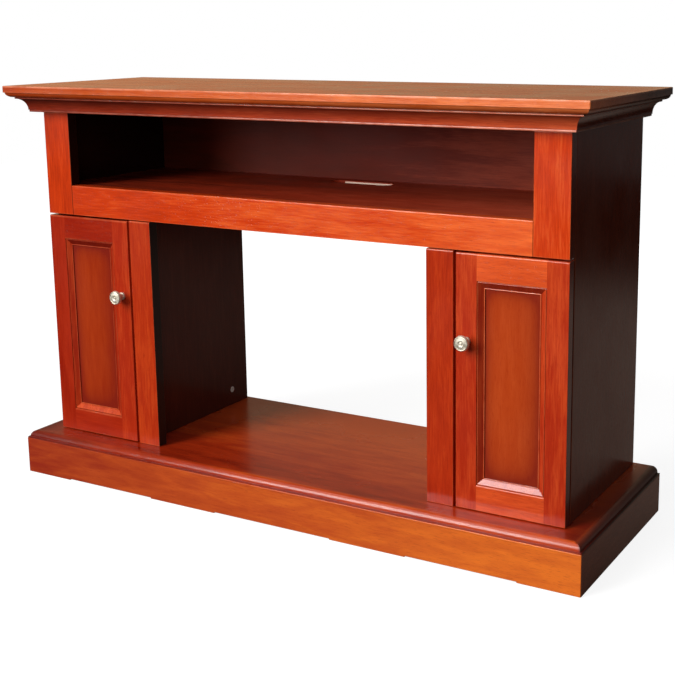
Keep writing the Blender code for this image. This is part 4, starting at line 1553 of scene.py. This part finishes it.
@dataclass
class Fittings:
    """Shelf pins, cam locks and the cabinet's halves of the hinges."""

    def build(self) -> None:
        """Dresses the metal nodes of the cabinet."""
        finishes = {"shelf_pin": ZINC, "hinge_arm": ZINC, "cam_lock": LIT_CAM_ZINC}
        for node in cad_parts:
            for start, finish in finishes.items():
                if node.startswith(start):
                    dress_node(node, finish)


# Studio


@dataclass
class Studio:
    """Floor, soft lights, white surroundings and the camera at the photo's place.

    Sky_share and floor_share are how much white a glossy ray sees where each is brightest. The floor is
    brightest for it at bright_spot, from near to far.
    """

    eye: Point = (1.2369, -1.9123, 0.8986)
    heading: float = 0.5106
    tilt: float = 0.1911
    roll: float = -0.0081
    lens: float = 65.37
    shift: tuple[float, float] = (-0.0933, -0.1154)
    target: Point = (0.1, -0.15, 0.38)
    ambient: float = 0.08
    ambient_tint: Four = (1.0, 0.97, 0.94, 1.0)
    sky_share: float = 0.30
    sky_tint: Four = (1.0, 0.87, 0.46, 1.0)
    floor_share: float = 0.22
    floor_tint: Four = (1.0, 0.74, 0.60, 1.0)
    floor_bounce: Four = (0.16, 0.15, 0.14, 1.0)
    floor_mirrored: Four = (0.03, 0.025, 0.02, 1.0)
    floor_pale: Four = (0.25, 0.25, 0.25, 1.0)
    floor_half: float = 5.0
    bright_spot: Point = (0.95, 1.0, 0.0)
    near: float = 0.5
    far: float = 1.7

    def build(self) -> None:
        """Builds the camera, the world, the floor and the lights."""
        scene = bpy.context.scene
        scene.view_settings.view_transform = "Standard"
        self.build_camera(scene)
        self.build_world(scene)
        self.build_floor(scene)
        self.light("window_softbox", (-3.30, -6.55, 3.76), self.target, (3.0, 6.2), 650.0)
        self.light("right_softbox", (0.50, -1.35, 1.0), (0.45, -0.15, 0.40), (0.6, 0.6), 3.8)
        self.light("overhead_softbox", (-1.0, -0.75, 3.1), self.target, (1.6, 1.6), 20.0)
        self.light("rear_softbox", (-0.4, 3.0, 0.9), (-0.1, 0.2, 0.4), (1.8, 1.0), 26.0, mirrored=False)

    def build_camera(self, scene: bpy.types.Scene) -> None:
        """Sets the camera by its heading, tilt and roll, with the lens shift of the photo's framing.

        Args:
            scene: The scene that gets the camera.
        """
        data = bpy.data.cameras.new("photo_camera")
        data.sensor_width = 36.0
        data.lens = self.lens
        data.shift_x, data.shift_y = self.shift
        data.clip_start, data.clip_end = 0.05, 60.0
        camera = bpy.data.objects.new("photo_camera", data)
        turns = ((self.heading, "Z"), (math.pi / 2 - self.tilt, "X"), (self.roll, "Z"))
        place = Matrix.Translation(self.eye)
        for angle, axis in turns:
            place = place @ Matrix.Rotation(angle, 4, axis)
        camera.matrix_world = place
        scene.collection.objects.link(camera)
        scene.camera = camera

    @staticmethod
    def seen(wiring: Wiring, bright: Socket, most: float, hidden: Socket, shown: Socket) -> Socket:
        """Mixes two shaders by how far a ray sees the white surroundings.

        Camera and transmission rays see them fully, and glossy rays in part.

        Args:
            wiring: The tree's wiring.
            bright: How bright the surroundings are there for a glossy ray, from 0 to 1.
            most: The share of white that a glossy ray sees where they are brightest.
            hidden: The shader of what lights the object.
            shown: The shader of the white surroundings.

        Returns:
            The mixed shader.
        """
        path = wiring.add("LightPath")
        direct = wiring.math("ADD", path["Is Camera Ray"], path["Is Transmission Ray"], clamp=True)
        glossy = wiring.math("MULTIPLY", path["Is Glossy Ray"], wiring.math("MULTIPLY", bright, most))
        share = wiring.math("ADD", direct, glossy, clamp=True)
        return wiring.add("MixShader", {0: share, 1: hidden, 2: shown})[0]

    def build_world(self, scene: bpy.types.Scene) -> None:
        """Makes the world: white where it is seen, a low ambient light elsewhere.

        For glossy rays it is brightest just over the horizon, and dimmer above and to the right.

        Args:
            scene: The scene that gets the world.
        """
        world = bpy.data.worlds.new("studio")
        world.use_nodes = True
        scene.world = world
        wiring = Wiring(world.node_tree)
        world.node_tree.nodes.clear()
        direction = wiring.add("TexCoord")["Generated"]
        across, _, height = wiring.add("SeparateXYZ", {0: direction})
        low = wiring.ramp(height, low=-0.02, high=0.06, start=0.05)
        high = wiring.ramp(height, low=0.14, high=0.34, start=1.0, end=0.35)
        left = wiring.ramp(across, low=-0.05, high=0.25, start=1.0, end=0.15)
        bright = wiring.math("MULTIPLY", wiring.math("MULTIPLY", low, high), left)
        soft = {"Color": self.ambient_tint, "Strength": self.ambient}
        hidden = wiring.add("Background", soft)[0]
        glossy = wiring.add("LightPath")["Is Glossy Ray"]
        white = {"Color": wiring.mix(glossy, WHITE, self.sky_tint), "Strength": 1.0}
        shown = wiring.add("Background", white)[0]
        both = self.seen(wiring, bright, self.sky_share, hidden, shown)
        wiring.add("OutputWorld", {"Surface": both})

    def build_floor(self, scene: bpy.types.Scene) -> None:
        """Lays the pale floor: white with the object's shadow where it is seen, duller for bounced light.

        Args:
            scene: The scene that gets the floor.
        """
        corners = self.floor_half * np.array([[-1, -1, 0], [1, -1, 0], [1, 1, 0], [-1, 1, 0]])
        mesh = bpy.data.meshes.new("studio_floor")
        mesh.from_pydata(corners.tolist(), [], [[0, 1, 2, 3]])
        floor = bpy.data.objects.new("studio_floor", mesh)
        scene.collection.objects.link(floor)
        made = bpy.data.materials.new("studio_floor")
        made.use_nodes = True
        made.node_tree.nodes.clear()
        wiring = Wiring(made.node_tree)
        place = wiring.add("TexCoord")["Object"]
        spot = {0: place, 1: self.bright_spot}
        distance = wiring.add("VectorMath", spot, operation="DISTANCE")["Value"]
        bright = wiring.ramp(distance, self.near, self.far, start=1.0, end=0.0)
        reach = wiring.add("VectorMath", {0: place}, operation="LENGTH")["Value"]
        strength = wiring.ramp(reach, low=0.9, high=2.4, start=0.88)
        glossy = wiring.add("LightPath")["Is Glossy Ray"]
        bounced = wiring.mix(glossy, self.floor_bounce, self.floor_mirrored)
        hidden = wiring.add("BsdfDiffuse", {"Color": bounced})[0]
        pale = wiring.add("BsdfDiffuse", {"Color": self.floor_pale})[0]
        white = {"Color": wiring.mix(glossy, WHITE, self.floor_tint), "Strength": strength}
        glow = wiring.add("Emission", white)[0]
        shown = wiring.add("AddShader", {0: pale, 1: glow})[0]
        both = self.seen(wiring, bright, self.floor_share, hidden, shown)
        wiring.add("OutputMaterial", {"Surface": both})
        mesh.materials.append(made)

    @staticmethod
    def light(
        name: str,
        place: Point,
        target: Point,
        size: tuple[float, float],
        power: float,
        mirrored: bool = True,
    ) -> None:
        """Hangs one softbox.

        Args:
            name: The light's name.
            place: Where it hangs.
            target: What it points at.
            size: Its width and height.
            power: Its power in watts.
            mirrored: Whether glossy surfaces show it.
        """
        data = bpy.data.lights.new(name, "AREA")
        data.shape = "RECTANGLE"
        data.size, data.size_y = size
        data.energy = power
        lamp = bpy.data.objects.new(name, data)
        lamp.location = place
        lamp.visible_camera = False
        lamp.visible_glossy = mirrored
        lamp.rotation_euler = (Vector(target) - Vector(place)).to_track_quat("-Z", "Y").to_euler()
        bpy.context.scene.collection.objects.link(lamp)


def main() -> None:
    """Builds the stand from the floor up, then the studio."""
    logging.basicConfig(level=logging.INFO, format="%(message)s")
    parts = [Plinth(), Case(), FaceFrame(), Crown(), TopSlab(), Fittings()]
    parts += [Door(side) for side in Side]
    for part in (*parts, Studio()):
        part.build()


if __name__ == "__main__":
    main()
